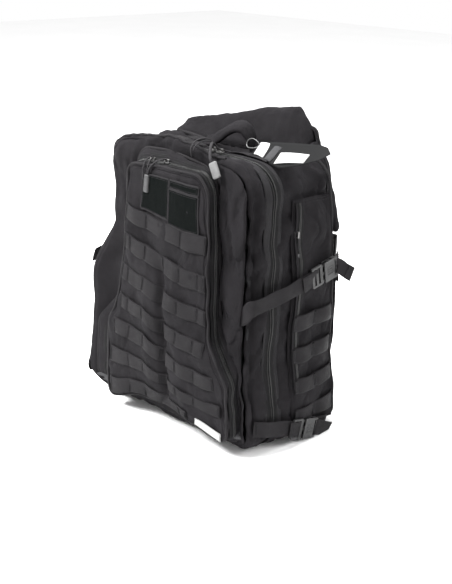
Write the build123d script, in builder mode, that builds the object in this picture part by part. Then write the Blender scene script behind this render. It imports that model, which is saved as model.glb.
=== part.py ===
"""Trauma backpack: a clamshell load-carrying pack in black nylon, as separate sewn and moulded pieces.

+Z is up, -Y is the front (away from the wearer), +X is to the right seen from the front.  The origin is
the middle of the base, on the surface the pack stands on.  Lengths are millimetres.
The pack is a stack of trays along Y: front pocket, lid, main shell, hydration sleeve, pads, shoulder straps.
The pocket and the lid each hinge at their bottom edge, where the zipper stops and the cloth runs through.
"""
from build123d import *
import os
from math import atan2, cos, hypot, radians, sin

os.makedirs("parts", exist_ok=True)

# ------------------------------------------------------------ driving sizes
WEB = 25.4                  # load webbing width, and the gap between rows of the webbing grid
PITCH = 2 * WEB             # row to row
MAIN_HALF_W = 157.0         # main shell
MAIN_BOT, MAIN_TOP = 4.0, 442.0
LID_HALF_W = 155.0
Y_FACE = -122.0             # front pocket's face
Y_POCKET_ZIP = -107.0
Y_LID = -92.0               # lid's face
Y_MAIN_ZIP = -48.0
Y_BACK = 92.0               # main shell's back
Y_SLEEVE = 116.0            # hydration sleeve's back
Y_PAD = 130.0               # back pads' face
POCKET_BOT, POCKET_TOP = 18.0, 420.0
TAPE_GAP = 0.3              # half the gap between the two halves of a closed zipper
STRAP_X = 167.4             # inner face of a compression strap on the pack's side
ROW_TOP = 352.0             # top edge of the highest webbing row on the front
SIDE_ROW_TOP = 210.0

MAIN_PTS, MAIN_R = [(-MAIN_HALF_W, MAIN_BOT), (MAIN_HALF_W, MAIN_BOT), (MAIN_HALF_W - 4, MAIN_TOP), (-MAIN_HALF_W + 4, MAIN_TOP)], [26, 26, 58, 58]
LID_PTS, LID_R = [(-LID_HALF_W, MAIN_BOT + 2), (LID_HALF_W, MAIN_BOT + 2), (LID_HALF_W - 4, MAIN_TOP - 2), (-LID_HALF_W + 4, MAIN_TOP - 2)], [26, 26, 58, 58]
POCKET_PTS = [(-134, POCKET_BOT), (134, POCKET_BOT), (137, 140), (98, 215), (84, POCKET_TOP), (-84, POCKET_TOP), (-98, 215), (-137, 140)]
POCKET_R = [18, 18, 50, 60, 26, 26, 60, 50]
MAIN, LID, POCKET = (MAIN_PTS, MAIN_R), (LID_PTS, LID_R), (POCKET_PTS, POCKET_R)


def save(name, shape):
    shape.label = name
    export_step(shape, f"parts/{name}.step")


def facing(y):
    """Plane at y whose local axes are +X and +Z; it extrudes towards the front (-Y)."""
    return Plane(origin=(0, y, 0), x_dir=(1, 0, 0), z_dir=(0, -1, 0))


def sideways(x):
    """Plane at x whose local axes are +Y and +Z; it extrudes towards +X."""
    return Plane(origin=(x, 0, 0), x_dir=(0, 1, 0), z_dir=(1, 0, 0))


def outline(shape, grow=0.0):
    pts, radii = shape
    with BuildLine() as line:
        FilletPolyline(*pts, radius=radii, close=True)
    face = make_face(line.wire(), mode=Mode.PRIVATE)
    return offset(face, amount=grow, kind=Kind.ARC, mode=Mode.PRIVATE) if grow else face


def tray(shape, y_open, y_face, wall):
    """A tray with its floor at y_face and its mouth at y_open."""
    front = y_face < y_open
    with BuildPart() as p:
        with BuildSketch(facing(max(y_open, y_face))):
            add(outline(shape))
        extrude(amount=abs(y_open - y_face))
        with BuildSketch(facing(y_open if front else y_face - wall)):
            add(outline(shape, -wall))
        extrude(amount=abs(y_open - y_face) - wall, mode=Mode.SUBTRACT)
    return p.part


def ring(shape, y_front, y_back, r_in, r_out, z_end):
    """A band round an outline, from r_in to r_out off it, open below z_end."""
    with BuildPart() as p:
        with BuildSketch(facing(y_back)):
            add(outline(shape, r_out))
            add(outline(shape, r_in), mode=Mode.SUBTRACT)
        extrude(amount=y_back - y_front)
        with BuildSketch(Plane.XY.offset(-20)):
            Rectangle(700, 700)
        extrude(amount=z_end + 20, mode=Mode.SUBTRACT)
    return p.part


def zip_half(shape, y_zip, side, z_end, tape=11.0):
    """Half a closed zipper on the outside of an outline: a flat tape, and a coil along the joint.  side is +1 for the rear half, -1 for the front half."""
    near, coil, far = y_zip + side * TAPE_GAP, y_zip + side * 2.6, y_zip + side * tape
    with BuildPart() as p:
        add(ring(shape, min(coil, far), max(coil, far), 0, 1.0, z_end))
        add(ring(shape, min(near, coil), max(near, coil), 0, 2.6, z_end))
    return p.part


def mirrored(name, part):
    save(f"{name}_right", part)
    save(f"{name}_left", part.mirror(Plane.YZ))


# ============================================================ main shell and what is sewn to it
save("main_shell", tray(MAIN, Y_MAIN_ZIP + TAPE_GAP, Y_BACK, 5.0))
save("main_zip_rear_tape", zip_half(MAIN, Y_MAIN_ZIP, 1, 34))

with BuildPart() as base_panel:
    with BuildSketch():
        with Locations((0, 24)):
            RectangleRounded(262, 122, 18)
    extrude(amount=MAIN_BOT)
save("base_panel", base_panel.part)

with BuildPart() as slip_pocket:
    with BuildSketch(facing(Y_BACK - 5.0)):
        with Locations((0, 140)):
            RectangleRounded(250, 230, 12)
    extrude(amount=2.0)
save("inner_slip_pocket", slip_pocket.part)

with BuildPart() as side_pocket:
    with BuildSketch(sideways(MAIN_HALF_W)):
        with Locations((48, 199)):
            RectangleRounded(80, 370, 8)
    extrude(amount=5.0)
mirrored("side_pocket", side_pocket.part)

with BuildPart() as side_webbing:
    for k in range(4):
        with BuildSketch(sideways(MAIN_HALF_W + 5.0)):
            with Locations((48, SIDE_ROW_TOP - PITCH * k - WEB / 2)):
                Rectangle(80, WEB)
        extrude(amount=1.6)
mirrored("side_webbing", side_webbing.part)

with BuildPart() as side_zip:
    with BuildSketch(sideways(MAIN_HALF_W)):
        with Locations((0, 236)):
            Rectangle(14, 290)
    extrude(amount=1.0)
    with BuildSketch(sideways(MAIN_HALF_W + 1.0)):
        with Locations((0, 236)):
            Rectangle(5, 282)
    extrude(amount=1.6)
mirrored("side_zip", side_zip.part)

# hydration sleeve: a flat sack sewn to the main shell's back, open along its top
SLEEVE_PTS, SLEEVE_R = [(-132, 10), (132, 10), (132, 418), (108, 474), (-108, 474), (-132, 418)], [20, 20, 50, 24, 24, 50]
with BuildPart() as sleeve:
    with BuildSketch(facing(Y_SLEEVE)):
        add(outline((SLEEVE_PTS, SLEEVE_R)))
    extrude(amount=Y_SLEEVE - Y_BACK)
    with BuildSketch(facing(Y_SLEEVE - 3)):
        with Locations((0, 270)):
            Rectangle(212, 500)
    extrude(amount=Y_SLEEVE - Y_BACK - 6, mode=Mode.SUBTRACT)
save("hydration_sleeve", sleeve.part)

with BuildPart() as stiffener:
    with BuildSketch(facing(Y_SLEEVE - 3)):
        with Locations((0, 245)):
            RectangleRounded(200, 430, 20)
    extrude(amount=1.5)
save("frame_sheet", stiffener.part)

with BuildPart() as back_pads:
    with BuildSketch(facing(Y_PAD)):
        with Locations((-62, 222), (62, 222)):
            RectangleRounded(96, 208, 22)
        with Locations((0, 73)):
            RectangleRounded(226, 70, 26)
    extrude(amount=Y_PAD - Y_SLEEVE)
save("back_pads", back_pads.part)

with BuildPart() as yoke:
    with BuildSketch(facing(Y_PAD)):
        add(outline(([(-112, 342), (112, 342), (100, 468), (-100, 468)], [16, 16, 22, 22])))
    extrude(amount=Y_PAD - Y_SLEEVE)
save("shoulder_yoke", yoke.part)

# padded flap over the sleeve's mouth: hinged along the ridge at the back, its front edge resting on the main shell's top
RIDGE_Y, RIDGE_Z = 108.0, 488.0
with BuildPart() as flap:
    with BuildSketch(sideways(-112)):
        with BuildLine():
            Polyline((42, MAIN_TOP + 1.0), (RIDGE_Y - 4, RIDGE_Z - 3), (RIDGE_Y + 12, RIDGE_Z - 3), (RIDGE_Y + 12, RIDGE_Z + 3), (RIDGE_Y - 4, RIDGE_Z + 6), (42, MAIN_TOP + 9), close=True)
        make_face()
    extrude(amount=224)
save("hydration_flap", flap.part)

# ============================================================ lid
save("main_lid_shell", tray(LID, Y_MAIN_ZIP - TAPE_GAP, Y_LID, 4.0))
save("main_zip_front_tape", zip_half(LID, Y_MAIN_ZIP, -1, 34))

with BuildPart() as mesh_pockets:
    with BuildSketch(facing(Y_LID + 4.0 + 2.0)):
        with Locations((0, 330), (0, 150)):
            RectangleRounded(270, 150, 14)
    extrude(amount=2.0)
save("lid_mesh_pockets", mesh_pockets.part)

with BuildPart() as gusset:
    with BuildSketch(facing(Y_LID)):
        add(outline(POCKET))
        add(outline(POCKET, -3.5), mode=Mode.SUBTRACT)
    extrude(amount=Y_LID - Y_POCKET_ZIP - TAPE_GAP)
save("front_pocket_gusset", gusset.part)
save("front_zip_rear_tape", zip_half(POCKET, Y_POCKET_ZIP, 1, 42, 10.0))

with BuildPart() as admin:
    with BuildSketch(facing(Y_LID)):
        with Locations((0, 190)):
            RectangleRounded(150, 250, 8)
    extrude(amount=1.4)
    with BuildSketch(facing(Y_LID - 1.4)):
        with Locations(*[(-58 + 20 * i, 240) for i in range(3)]):
            Rectangle(14, 120)
        with Locations((38, 235), (0, 105)):
            Rectangle(66, 84)
    extrude(amount=1.2)
save("organizer_panel", admin.part)

# ============================================================ front pocket cover
save("front_pocket_cover", tray(POCKET, Y_POCKET_ZIP - TAPE_GAP, Y_FACE, 3.5))
save("front_zip_front_tape", zip_half(POCKET, Y_POCKET_ZIP, -1, 42, 10.0))

ROW_HALF = [88, 92, 95, 100, 118, 128, 128]      # half-length of each row, which follows the pocket's waist
with BuildPart() as front_webbing:
    for k, half in enumerate(ROW_HALF):
        right = 56 if k == 6 else half
        with BuildSketch(facing(Y_FACE)):
            with Locations(((right - half) / 2, ROW_TOP - PITCH * k - WEB / 2)):
                Rectangle(right + half, WEB)
        extrude(amount=1.6)
save("front_webbing", front_webbing.part)

with BuildPart() as loop_patches:
    with BuildSketch(facing(Y_FACE)):
        with Locations((-20, 382)):
            Rectangle(56, 50)
        with Locations((41, 374)):
            Rectangle(62, 44)
        with Locations((41, 402)):
            Rectangle(62, 9)
    extrude(amount=1.6)
save("loop_patches", loop_patches.part)

with BuildPart() as label:
    with BuildSketch(facing(Y_FACE)):
        with Locations((97, 34)):
            Rectangle(60, 19)
    extrude(amount=0.8)
save("woven_label", label.part)

with BuildPart() as zip_ends:
    with BuildSketch(sideways(-137)):
        with Locations((Y_POCKET_ZIP + 8, 36)):
            Rectangle(12, 9)
    extrude(amount=1.2)
    with BuildSketch(sideways(135.8)):
        with Locations((Y_POCKET_ZIP + 8, 36)):
            Rectangle(12, 9)
    extrude(amount=1.2)
save("zipper_end_tabs", zip_ends.part)

# ============================================================ zipper sliders and pulls
COIL = 2.6           # how far a coil stands off the cloth
BAR = 2.0 + 3.0 + 0.6   # middle of a slider's bridge above its underside


def slider(at, along, out):
    """A zip slider 12 long and 8 wide: a base, two posts and a bridge along its length.  at is the middle of its underside."""
    plane = Plane(origin=at, x_dir=along, z_dir=out)
    with BuildPart() as p:
        with BuildSketch(plane):
            RectangleRounded(12, 8, 2.5)
        extrude(amount=2.0)
        with BuildSketch(plane.offset(2.0)):
            with Locations((-4, 0), (4, 0)):
                Rectangle(2, 3)
        extrude(amount=3.0)
        with BuildSketch(plane.offset(5.0)):
            Rectangle(10, 3)
        extrude(amount=1.2)
    return p.part


def side_pull(at, length, tab):
    """A flat cord loop through a slider's bridge, hanging straight down the pack's side.  at is the top of the loop's cord."""
    with BuildPart() as p:
        with BuildSketch(sideways(at[0] - 0.8)):
            with Locations((at[1], at[2] + 0.8 - length / 2)):
                SlotOverall(length, 8.4, rotation=90)
                SlotOverall(length - 3.2, 5.2, rotation=90, mode=Mode.SUBTRACT)
        extrude(amount=1.6)
        with BuildSketch(sideways(at[0] - 1.5)):
            with Locations((at[1], at[2] - length - tab / 2 + 3)):
                RectangleRounded(10, tab, 2)
        extrude(amount=3.0)
    return p.part


def over_pull(x, bar_y, bar_z, y_hang, z_low, tab):
    """A pull that rings the bridge of a slider on top of a tray, lies forward, and hangs in front of the face."""
    with BuildPart() as p:
        with BuildSketch(sideways(x - 1.2)):
            with Locations((bar_y, bar_z)):
                Circle(3.3)
                Circle(1.9, mode=Mode.SUBTRACT)
        extrude(amount=2.4)
        with BuildSketch(sideways(x - 1.2)):
            with BuildLine():
                Polyline((bar_y - 2.6, bar_z + 1.2), (bar_y - 2.6, bar_z - 0.6), (y_hang + 1.2, bar_z - 0.6), (y_hang + 1.2, z_low), (y_hang - 1.2, z_low), (y_hang - 1.2, bar_z + 1.2), close=True)
            make_face()
        extrude(amount=2.4)
        if tab:
            with BuildSketch(facing(y_hang + 2.0)):
                with Locations((x, z_low - tab / 2 + 2)):
                    RectangleRounded(11, tab, 2)
            extrude(amount=4.0)
    return p.part


FZ = POCKET_TOP + COIL + 0.3
save("front_slider_right", slider((-18, Y_POCKET_ZIP, FZ), (1, 0, 0), (0, 0, 1)))
save("front_slider_left", slider((-46, Y_POCKET_ZIP, FZ), (1, 0, 0), (0, 0, 1)))
save("front_pull_right", over_pull(-18, Y_POCKET_ZIP, FZ + BAR, Y_FACE - 5.0, FZ - 18, 26))
save("front_pull_left", over_pull(-46, Y_POCKET_ZIP, FZ + BAR, Y_FACE - 5.0, FZ - 26, 0))

MZ = MAIN_TOP + COIL + 0.3
save("main_slider_left", slider((28, Y_MAIN_ZIP, MZ), (1, 0, 0), (0, 0, 1)))
save("main_slider_right", slider((46, Y_MAIN_ZIP, MZ), (1, 0, 0), (0, 0, 1)))
save("main_pull_left", over_pull(28, Y_MAIN_ZIP, MZ + BAR, Y_LID - 4.0, MZ - 5, 17))
save("main_pull_right", over_pull(46, Y_MAIN_ZIP, MZ + BAR, Y_LID - 4.0, MZ - 18, 0))

SX = MAIN_HALF_W + COIL + 0.3
mirrored("side_slider", slider((SX, 0, 335), (0, 0, 1), (1, 0, 0)))
mirrored("side_pull", side_pull((SX + 3.5, 0, 335), 28, 22))

# ============================================================ compression straps and side-release buckles
# Each strap is sewn to the lid's face, wraps its edge and runs back along the side; it is built level, then tilted.
STRAPS = {"upper": (240.0, 11.0, 26.0), "lower": (50.0, -14.0, -14.0)}     # height at the lid's face, tilt, where the tongue starts
sockets, anchors = [], []
for name, (z, tilt, y0) in STRAPS.items():
    pivot = Axis((0, Y_LID, z), (1, 0, 0))
    lip = 3.4
    if name == "upper":
        run = [(112, Y_LID - lip - 1.5), (159, Y_LID - lip - 1.5), (STRAP_X + 1.5, Y_LID + 26), (STRAP_X + 1.5, y0 + 22), (STRAP_X, y0 + 22), (STRAP_X, Y_LID + 27), (157.5, Y_LID - lip), (112, Y_LID - lip)]
        run_r = [0.1, 3.5, 18, 0.1, 0.1, 16.5, 2, 0.1]
    else:
        run = [(LID_HALF_W + 1.7, -86), (LID_HALF_W + 1.7, -74), (STRAP_X + 1.5, -44), (STRAP_X + 1.5, y0 + 22), (STRAP_X, y0 + 22), (STRAP_X, -43.5), (LID_HALF_W + 0.2, -73.5), (LID_HALF_W + 0.2, -86)]
        run_r = [0.1, 8, 14, 0.1, 0.1, 12.5, 9.5, 0.1]
    with BuildPart() as strap:
        with BuildSketch(Plane.XY.offset(z - WEB / 2)):
            with BuildLine():
                FilletPolyline(*run, radius=run_r, close=True)
            make_face()
        extrude(amount=WEB)
    mirrored(f"{name}_strap", strap.part.rotate(pivot, tilt))

    # tongue: a frame that the webbing runs through, a guide bar and two prongs
    with BuildPart() as tongue:
        with BuildSketch(sideways(STRAP_X + 1.9)):
            with Locations((y0 + 12, z)):
                RectangleRounded(24, 33, 3)
            with Locations((y0 + 7, z), (y0 + 16, z)):
                Rectangle(4, 26, mode=Mode.SUBTRACT)
            with Locations((y0 + 31, z)):
                Rectangle(16, 5)
            with Locations((y0 + 33, z + 12), (y0 + 33, z - 12)):
                Rectangle(20, 3)
            with Locations((y0 + 39, z + 13.5), (y0 + 39, z - 13.5)):
                Rectangle(6, 5)
        extrude(amount=3.4)
    mirrored(f"{name}_tongue", tongue.part.rotate(pivot, tilt))

    # socket: two plates joined by a cross bar at the back, open along both edges
    with BuildPart() as socket:
        for x, t in ((STRAP_X, 1.4), (STRAP_X + 5.7, 1.6)):
            with BuildSketch(sideways(x)):
                with Locations((y0 + 38, z)):
                    RectangleRounded(22, 33, 2)
            extrude(amount=t)
        with BuildSketch(sideways(STRAP_X)):
            with Locations((y0 + 51, z)):
                RectangleRounded(10, 33, 2)
            with Locations((y0 + 51.5, z)):
                Rectangle(3, 26, mode=Mode.SUBTRACT)
        extrude(amount=7.3)
    sockets.append(socket.part.rotate(pivot, tilt))

    # rear webbing: from the socket's bar to the pack's back edge, with a loose tail behind the upper buckle
    y_end = 104 if name == "upper" else 74
    with BuildPart() as anchor:
        with BuildSketch(Plane.XY.offset(z - WEB / 2)):
            with BuildLine():
                Polyline((STRAP_X - 1.7, y0 + 45), (STRAP_X - 0.2, y0 + 45), (STRAP_X - 0.2, y_end), (STRAP_X - 1.7, y_end), close=True)
            make_face()
            if name == "upper":
                with BuildLine():
                    Polyline((STRAP_X + 7.6, y0 + 46), (STRAP_X + 8.9, y0 + 46), (STRAP_X + 26, y0 + 86), (STRAP_X + 24.6, y0 + 86), close=True)
                make_face()
        extrude(amount=WEB)
    anchors.append(anchor.part.rotate(pivot, tilt))

save("buckle_sockets", Compound(children=[s for p in sockets for s in (p, p.mirror(Plane.YZ))]))
save("rear_strap_anchors", Compound(children=[s for p in anchors for s in (p, p.mirror(Plane.YZ))]))

# ============================================================ grab handle
HANDLE_Y, HANDLE_Z = 14.0, MAIN_TOP + 10.0
with BuildPart() as tabs:
    for x in (-58, 55):
        with BuildSketch(sideways(x)):
            with Locations((HANDLE_Y, MAIN_TOP + 7)):
                RectangleRounded(24, 14, 3)
        extrude(amount=3.0)
save("handle_anchor_tabs", tabs.part)

with BuildPart() as handle:
    with BuildSketch(facing(HANDLE_Y + 12)):
        with BuildLine():
            FilletPolyline((-54.4, HANDLE_Z - 6), (-54.4, HANDLE_Z + 14), (-30, HANDLE_Z + 36), (30, HANDLE_Z + 36), (54.4, HANDLE_Z + 14), (54.4, HANDLE_Z - 6),
                           (47.4, HANDLE_Z - 6), (47.4, HANDLE_Z + 12), (28, HANDLE_Z + 28), (-28, HANDLE_Z + 28), (-47.4, HANDLE_Z + 12), (-47.4, HANDLE_Z - 6),
                           radius=[1, 14, 18, 18, 14, 1, 1, 9, 12, 12, 9, 1], close=True)
        make_face()
    extrude(amount=24)
    # the feet narrow towards the line they fold about, so they clear the cloth under them
    with BuildSketch(sideways(-60)):
        with BuildLine():
            Polyline((HANDLE_Y - 5.8, HANDLE_Z - 6), (HANDLE_Y + 5.8, HANDLE_Z - 6), (HANDLE_Y + 6.2, HANDLE_Z - 2), (HANDLE_Y + 12, HANDLE_Z + 14), (HANDLE_Y + 12, HANDLE_Z + 40),
                     (HANDLE_Y - 12, HANDLE_Z + 40), (HANDLE_Y - 12, HANDLE_Z + 14), (HANDLE_Y - 6.2, HANDLE_Z - 2), close=True)
        make_face()
    extrude(amount=120, mode=Mode.INTERSECT)
save("grab_handle", handle.part)

# ============================================================ shoulder straps
STRAP_Y = Y_PAD + 24.0        # middle of the padded strap at its furthest from the pads
with BuildPart() as shoulder:
    with BuildSketch(sideways(0)):
        with BuildLine():
            FilletPolyline((Y_PAD + 1.0, 462), (Y_PAD + 12, 462), (STRAP_Y + 6, 420), (STRAP_Y + 6, 320), (STRAP_Y + 3, 298), (STRAP_Y - 8, 298), (STRAP_Y - 6, 322), (STRAP_Y - 6, 412), (Y_PAD + 1.0, 444),
                           radius=[1, 8, 30, 40, 1, 1, 30, 24, 1], close=True)
        make_face()
    extrude(amount=160)
    with BuildSketch(facing(Y_PAD + 60)):
        with BuildLine():
            FilletPolyline((26, 470), (90, 470), (108, 400), (126, 290), (74, 290), (50, 390), radius=[1, 1, 120, 12, 12, 120], close=True)
        make_face()
    extrude(amount=70, mode=Mode.INTERSECT)
mirrored("shoulder_strap", shoulder.part)

with BuildPart() as strap_lock:
    with BuildSketch(facing(STRAP_Y)):
        with Locations((102, 279)):
            RectangleRounded(36, 34, 3)
        with Locations((102, 288), (102, 279), (102, 270)):
            Rectangle(27, 4, mode=Mode.SUBTRACT)
    extrude(amount=4.0)
mirrored("strap_ladder_lock", strap_lock.part)

with BuildPart() as lower_web:
    with BuildSketch(sideways(102 - WEB / 2)):
        with BuildLine():
            FilletPolyline((STRAP_Y + 0.4, 289), (STRAP_Y + 1.9, 289), (STRAP_Y + 1.9, 140), (Y_PAD + 6.5, 52), (Y_PAD + 5.0, 52), (STRAP_Y + 0.4, 140), radius=[0.1, 0.1, 40, 0.1, 0.1, 40], close=True)
        make_face()
    extrude(amount=WEB)
mirrored("strap_webbing", lower_web.part)

with BuildPart() as strap_anchors:
    for x in (-102, 102):
        with BuildSketch(sideways(x - WEB / 2)):
            with BuildLine():
                Polyline((Y_PAD - 13.7, 26), (Y_PAD + 3.0, 26), (Y_PAD + 6.5, 51), (Y_PAD + 5.0, 51), (Y_PAD + 1.6, 28), (Y_PAD - 13.7, 28), close=True)
            make_face()
        extrude(amount=WEB)
save("strap_lower_anchors", strap_anchors.part)

with BuildPart() as sternum:
    y_out = STRAP_Y + 6.4
    with BuildSketch(facing(y_out + 3.0)):
        with Locations((72, 352)):
            RectangleRounded(24, 26, 2)
    extrude(amount=3.0)
    with BuildSketch(facing(y_out + 2.2)):
        with Locations((45, 352)):
            Rectangle(30, 19)
    extrude(amount=1.5)
    with BuildSketch(facing(y_out + 4.5)):
        with Locations((16, 352)):
            RectangleRounded(28, 24, 2)
    extrude(amount=5.0)
mirrored("sternum_strap", sternum.part)

# ============================================================ hang tag: two cards on a plastic loop, lying over the top's right edge
with BuildPart() as cards:
    with BuildSketch(Plane.XY.offset(HANDLE_Z + 2)):
        with Locations((142, -6)):
            Rectangle(112, 46)
    extrude(amount=0.8)
    with BuildSketch(Plane.XY.offset(HANDLE_Z + 2.8)):
        with Locations((120, -12)):
            Rectangle(62, 40)
    extrude(amount=0.8)
save("hang_tag_cards", cards.part)
with BuildPart() as tag_loop:
    with BuildSketch(Plane.XY.offset(HANDLE_Z + 3.6)):
        with Locations((79, -6)):
            SlotOverall(34, 6)
            SlotOverall(30.8, 2.8, mode=Mode.SUBTRACT)
    extrude(amount=1.6)
save("hang_tag_loop", tag_loop.part)
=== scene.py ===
import math
import bpy
import bmesh
import numpy as np
from mathutils.bvhtree import BVHTree
from mathutils import Matrix, Vector


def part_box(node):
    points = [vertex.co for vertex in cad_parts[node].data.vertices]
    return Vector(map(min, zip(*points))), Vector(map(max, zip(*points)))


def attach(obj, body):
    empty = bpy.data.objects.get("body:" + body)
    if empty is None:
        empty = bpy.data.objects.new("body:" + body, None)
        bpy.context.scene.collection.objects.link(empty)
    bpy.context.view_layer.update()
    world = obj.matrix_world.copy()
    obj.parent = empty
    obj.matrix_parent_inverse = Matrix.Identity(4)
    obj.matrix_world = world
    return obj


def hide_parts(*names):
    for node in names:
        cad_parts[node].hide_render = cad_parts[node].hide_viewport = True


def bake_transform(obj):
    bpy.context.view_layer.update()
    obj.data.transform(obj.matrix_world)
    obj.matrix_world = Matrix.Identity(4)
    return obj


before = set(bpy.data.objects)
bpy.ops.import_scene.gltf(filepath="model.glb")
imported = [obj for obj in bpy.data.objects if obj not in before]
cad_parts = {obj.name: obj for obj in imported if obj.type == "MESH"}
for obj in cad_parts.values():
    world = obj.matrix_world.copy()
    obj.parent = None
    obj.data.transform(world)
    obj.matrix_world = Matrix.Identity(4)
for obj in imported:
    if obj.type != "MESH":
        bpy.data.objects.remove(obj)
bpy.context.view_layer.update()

# ================================================================== small maths
def S(x, a, b):
    t = np.clip((x - a) / (b - a), 0.0, 1.0)
    return t * t * (3 - 2 * t)


class Waves:
    """A smooth random field made of sine waves between two wavelengths, about unit size."""
    def __init__(self, seed, n, lo, hi, squash=(1, 1, 1)):
        r = np.random.RandomState(seed)
        d = r.normal(size=(n, 3)) * np.array(squash)
        d /= np.linalg.norm(d, axis=1)[:, None]
        wl = np.exp(r.uniform(math.log(lo), math.log(hi), n))
        self.k = d * (2 * math.pi / wl)[:, None]
        self.p = r.uniform(0, 2 * math.pi, n)
        self.a = (wl / hi) ** 0.7
        self.a /= math.sqrt((self.a ** 2).sum() / 2)

    def __call__(self, P):
        return (np.sin(P @ self.k.T + self.p) * self.a).sum(-1)


BIG = [Waves(s, 14, 90, 260) for s in (3, 5, 8)]
MID = [Waves(s, 22, 34, 95) for s in (13, 17, 19)]
FINE = Waves(31, 30, 11, 34)
RIDGE = [Waves(41, 16, 45, 140, (1, 1, .45)), Waves(43, 20, 22, 60, (1, 1, .7))]


def creases(P):
    """Sharp soft-edged folds, 0 to 1."""
    Q = P + 9 * np.stack([MID[i](P * 0.8) for i in range(3)], -1)
    a = np.clip(1 - np.abs(RIDGE[0](Q)) / 0.55, 0, 1) ** 2
    b = np.clip(1 - np.abs(RIDGE[1](Q)) / 0.5, 0, 1) ** 2
    return a * 0.7 + b * 0.35


# The pack's slump: one field that every soft piece goes through, so that seams, zippers and webbing stay together.
POCKET_Z = [18, 47, 98, 149, 199, 250, 301, 352, 420]
POCKET_DZ = {-125: [4, 8, 13, 15, 11, 11, 11, 9, 1], -41: [22, 18, 10, 7, 0, -1, 0, -2, 2], 6: [26, 14, -1, -7, -14, -13, -11, -9, 3], 62: [18, 6, -11, -17, -21, -21, -18, -14, 4], 130: [8, -2, -12, -20, -27, -27, -24, -16, 2]}


def pocket_dz(x, z):
    xs = sorted(POCKET_DZ)
    cols = np.stack([np.interp(z, POCKET_Z, POCKET_DZ[k]) for k in xs], -1)
    t = np.clip(x, xs[0], xs[-1])
    i = np.clip(np.searchsorted(xs, t) - 1, 0, len(xs) - 2)
    x0, x1 = np.take(xs, i), np.take(xs, i + 1)
    f = (t - x0) / (x1 - x0)
    f = f * f * (3 - 2 * f)
    a = np.take_along_axis(cols, i[..., None], -1)[..., 0]
    b = np.take_along_axis(cols, (i + 1)[..., None], -1)[..., 0]
    return a * (1 - f) + b * f


def warp(P, noise=1.0):
    P = np.asarray(P, float)
    x, y, z = P[..., 0], P[..., 1], P[..., 2]
    d = np.zeros_like(P)
    top = S(z, 350, 436)
    # the lid's front panel stands up in an arch, fullest left of the middle
    lid = S(y, -56, -90) * S(y, -107, -94)
    d[..., 2] += lid * top * (8 + 13 * np.exp(-((x + 30) / 85) ** 2)) * (1 - 0.4 * S(x, 60, 150))
    # behind it the top slumps, most around the handle
    d[..., 2] -= 13 * top * np.exp(-((x - 6) / 78) ** 2 - ((y - 14) / 44) ** 2)
    d[..., 2] -= 5 * top * S(x, 60, 150) * S(y, -80, -40) * S(y, 100, 60)
    # the foot spreads, and its left front corner pushes forward
    low = 1 - S(z, 20, 190)
    d[..., 0] += low * (7.5 * S(x, 70, 157) - 3 * S(-x, 70, 157))
    d[..., 1] += low * (-7 * S(-x, 60, 150) * S(-y, -10, 90) + 8 * S(y, 40, 100) * S(x, -50, 140))
    # the sides lean in slightly towards the top
    d[..., 0] -= 5 * S(z, 240, 430) * np.clip(x / 157, -0.5, 1) * S(-y, -60, 60) * np.where(x > 0, 1.0, -1.2)
    # the front pocket droops to the right, and its foot arches up
    pk = S(-y, 94, 106)
    # the left side hangs outward below its middle; the back leans forward at the top
    left = S(-x, 60, 150)
    hang = (1 - pk) * S(z, 0, 48) * S(z, 318, 215)
    d[..., 0] -= hang * left * (17 + 13 * S(-y, 30, 90))
    d[..., 1] -= hang * S(-x, 114, 150) * S(-y, 40, 92) * 20
    d[..., 0] += pk * left * 13 * (1 - S(z, 150, 260))
    d[..., 1] -= 27 * S(z, 225, 460) * S(y, 20, 100)
    d[..., 2] -= 26 * S(-x, -40, 60) * S(y, 86, 104) * S(z, 415, 460)
    d[..., 2] += pk * pocket_dz(x, z)
    d[..., 0] += pk * 9 * S(z, 190, 420)
    # a deep crease runs down the pocket's middle
    xc = 1.5 + 5 * np.sin(z / 60.0) + 0.02 * (200 - z)
    depth = S(z, 300, 240) * S(z, 22, 60) * 9.5
    d[..., 1] += S(-y, 96, 118) * depth * np.exp(-((x - xc) / 6.5) ** 2)
    d[..., 1] -= S(y, -96, -118) * (S(z, 330, 250) * S(z, 20, 70)) * 4.5 * np.exp(-((np.abs(x - xc) - 32) / 22) ** 2)
    if noise:
        for i in range(3):
            d[..., i] += noise * (1.5 * BIG[i](P) + 0.75 * MID[i](P)) * (0.55 if i == 2 else 1.0)
    return P + d


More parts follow.
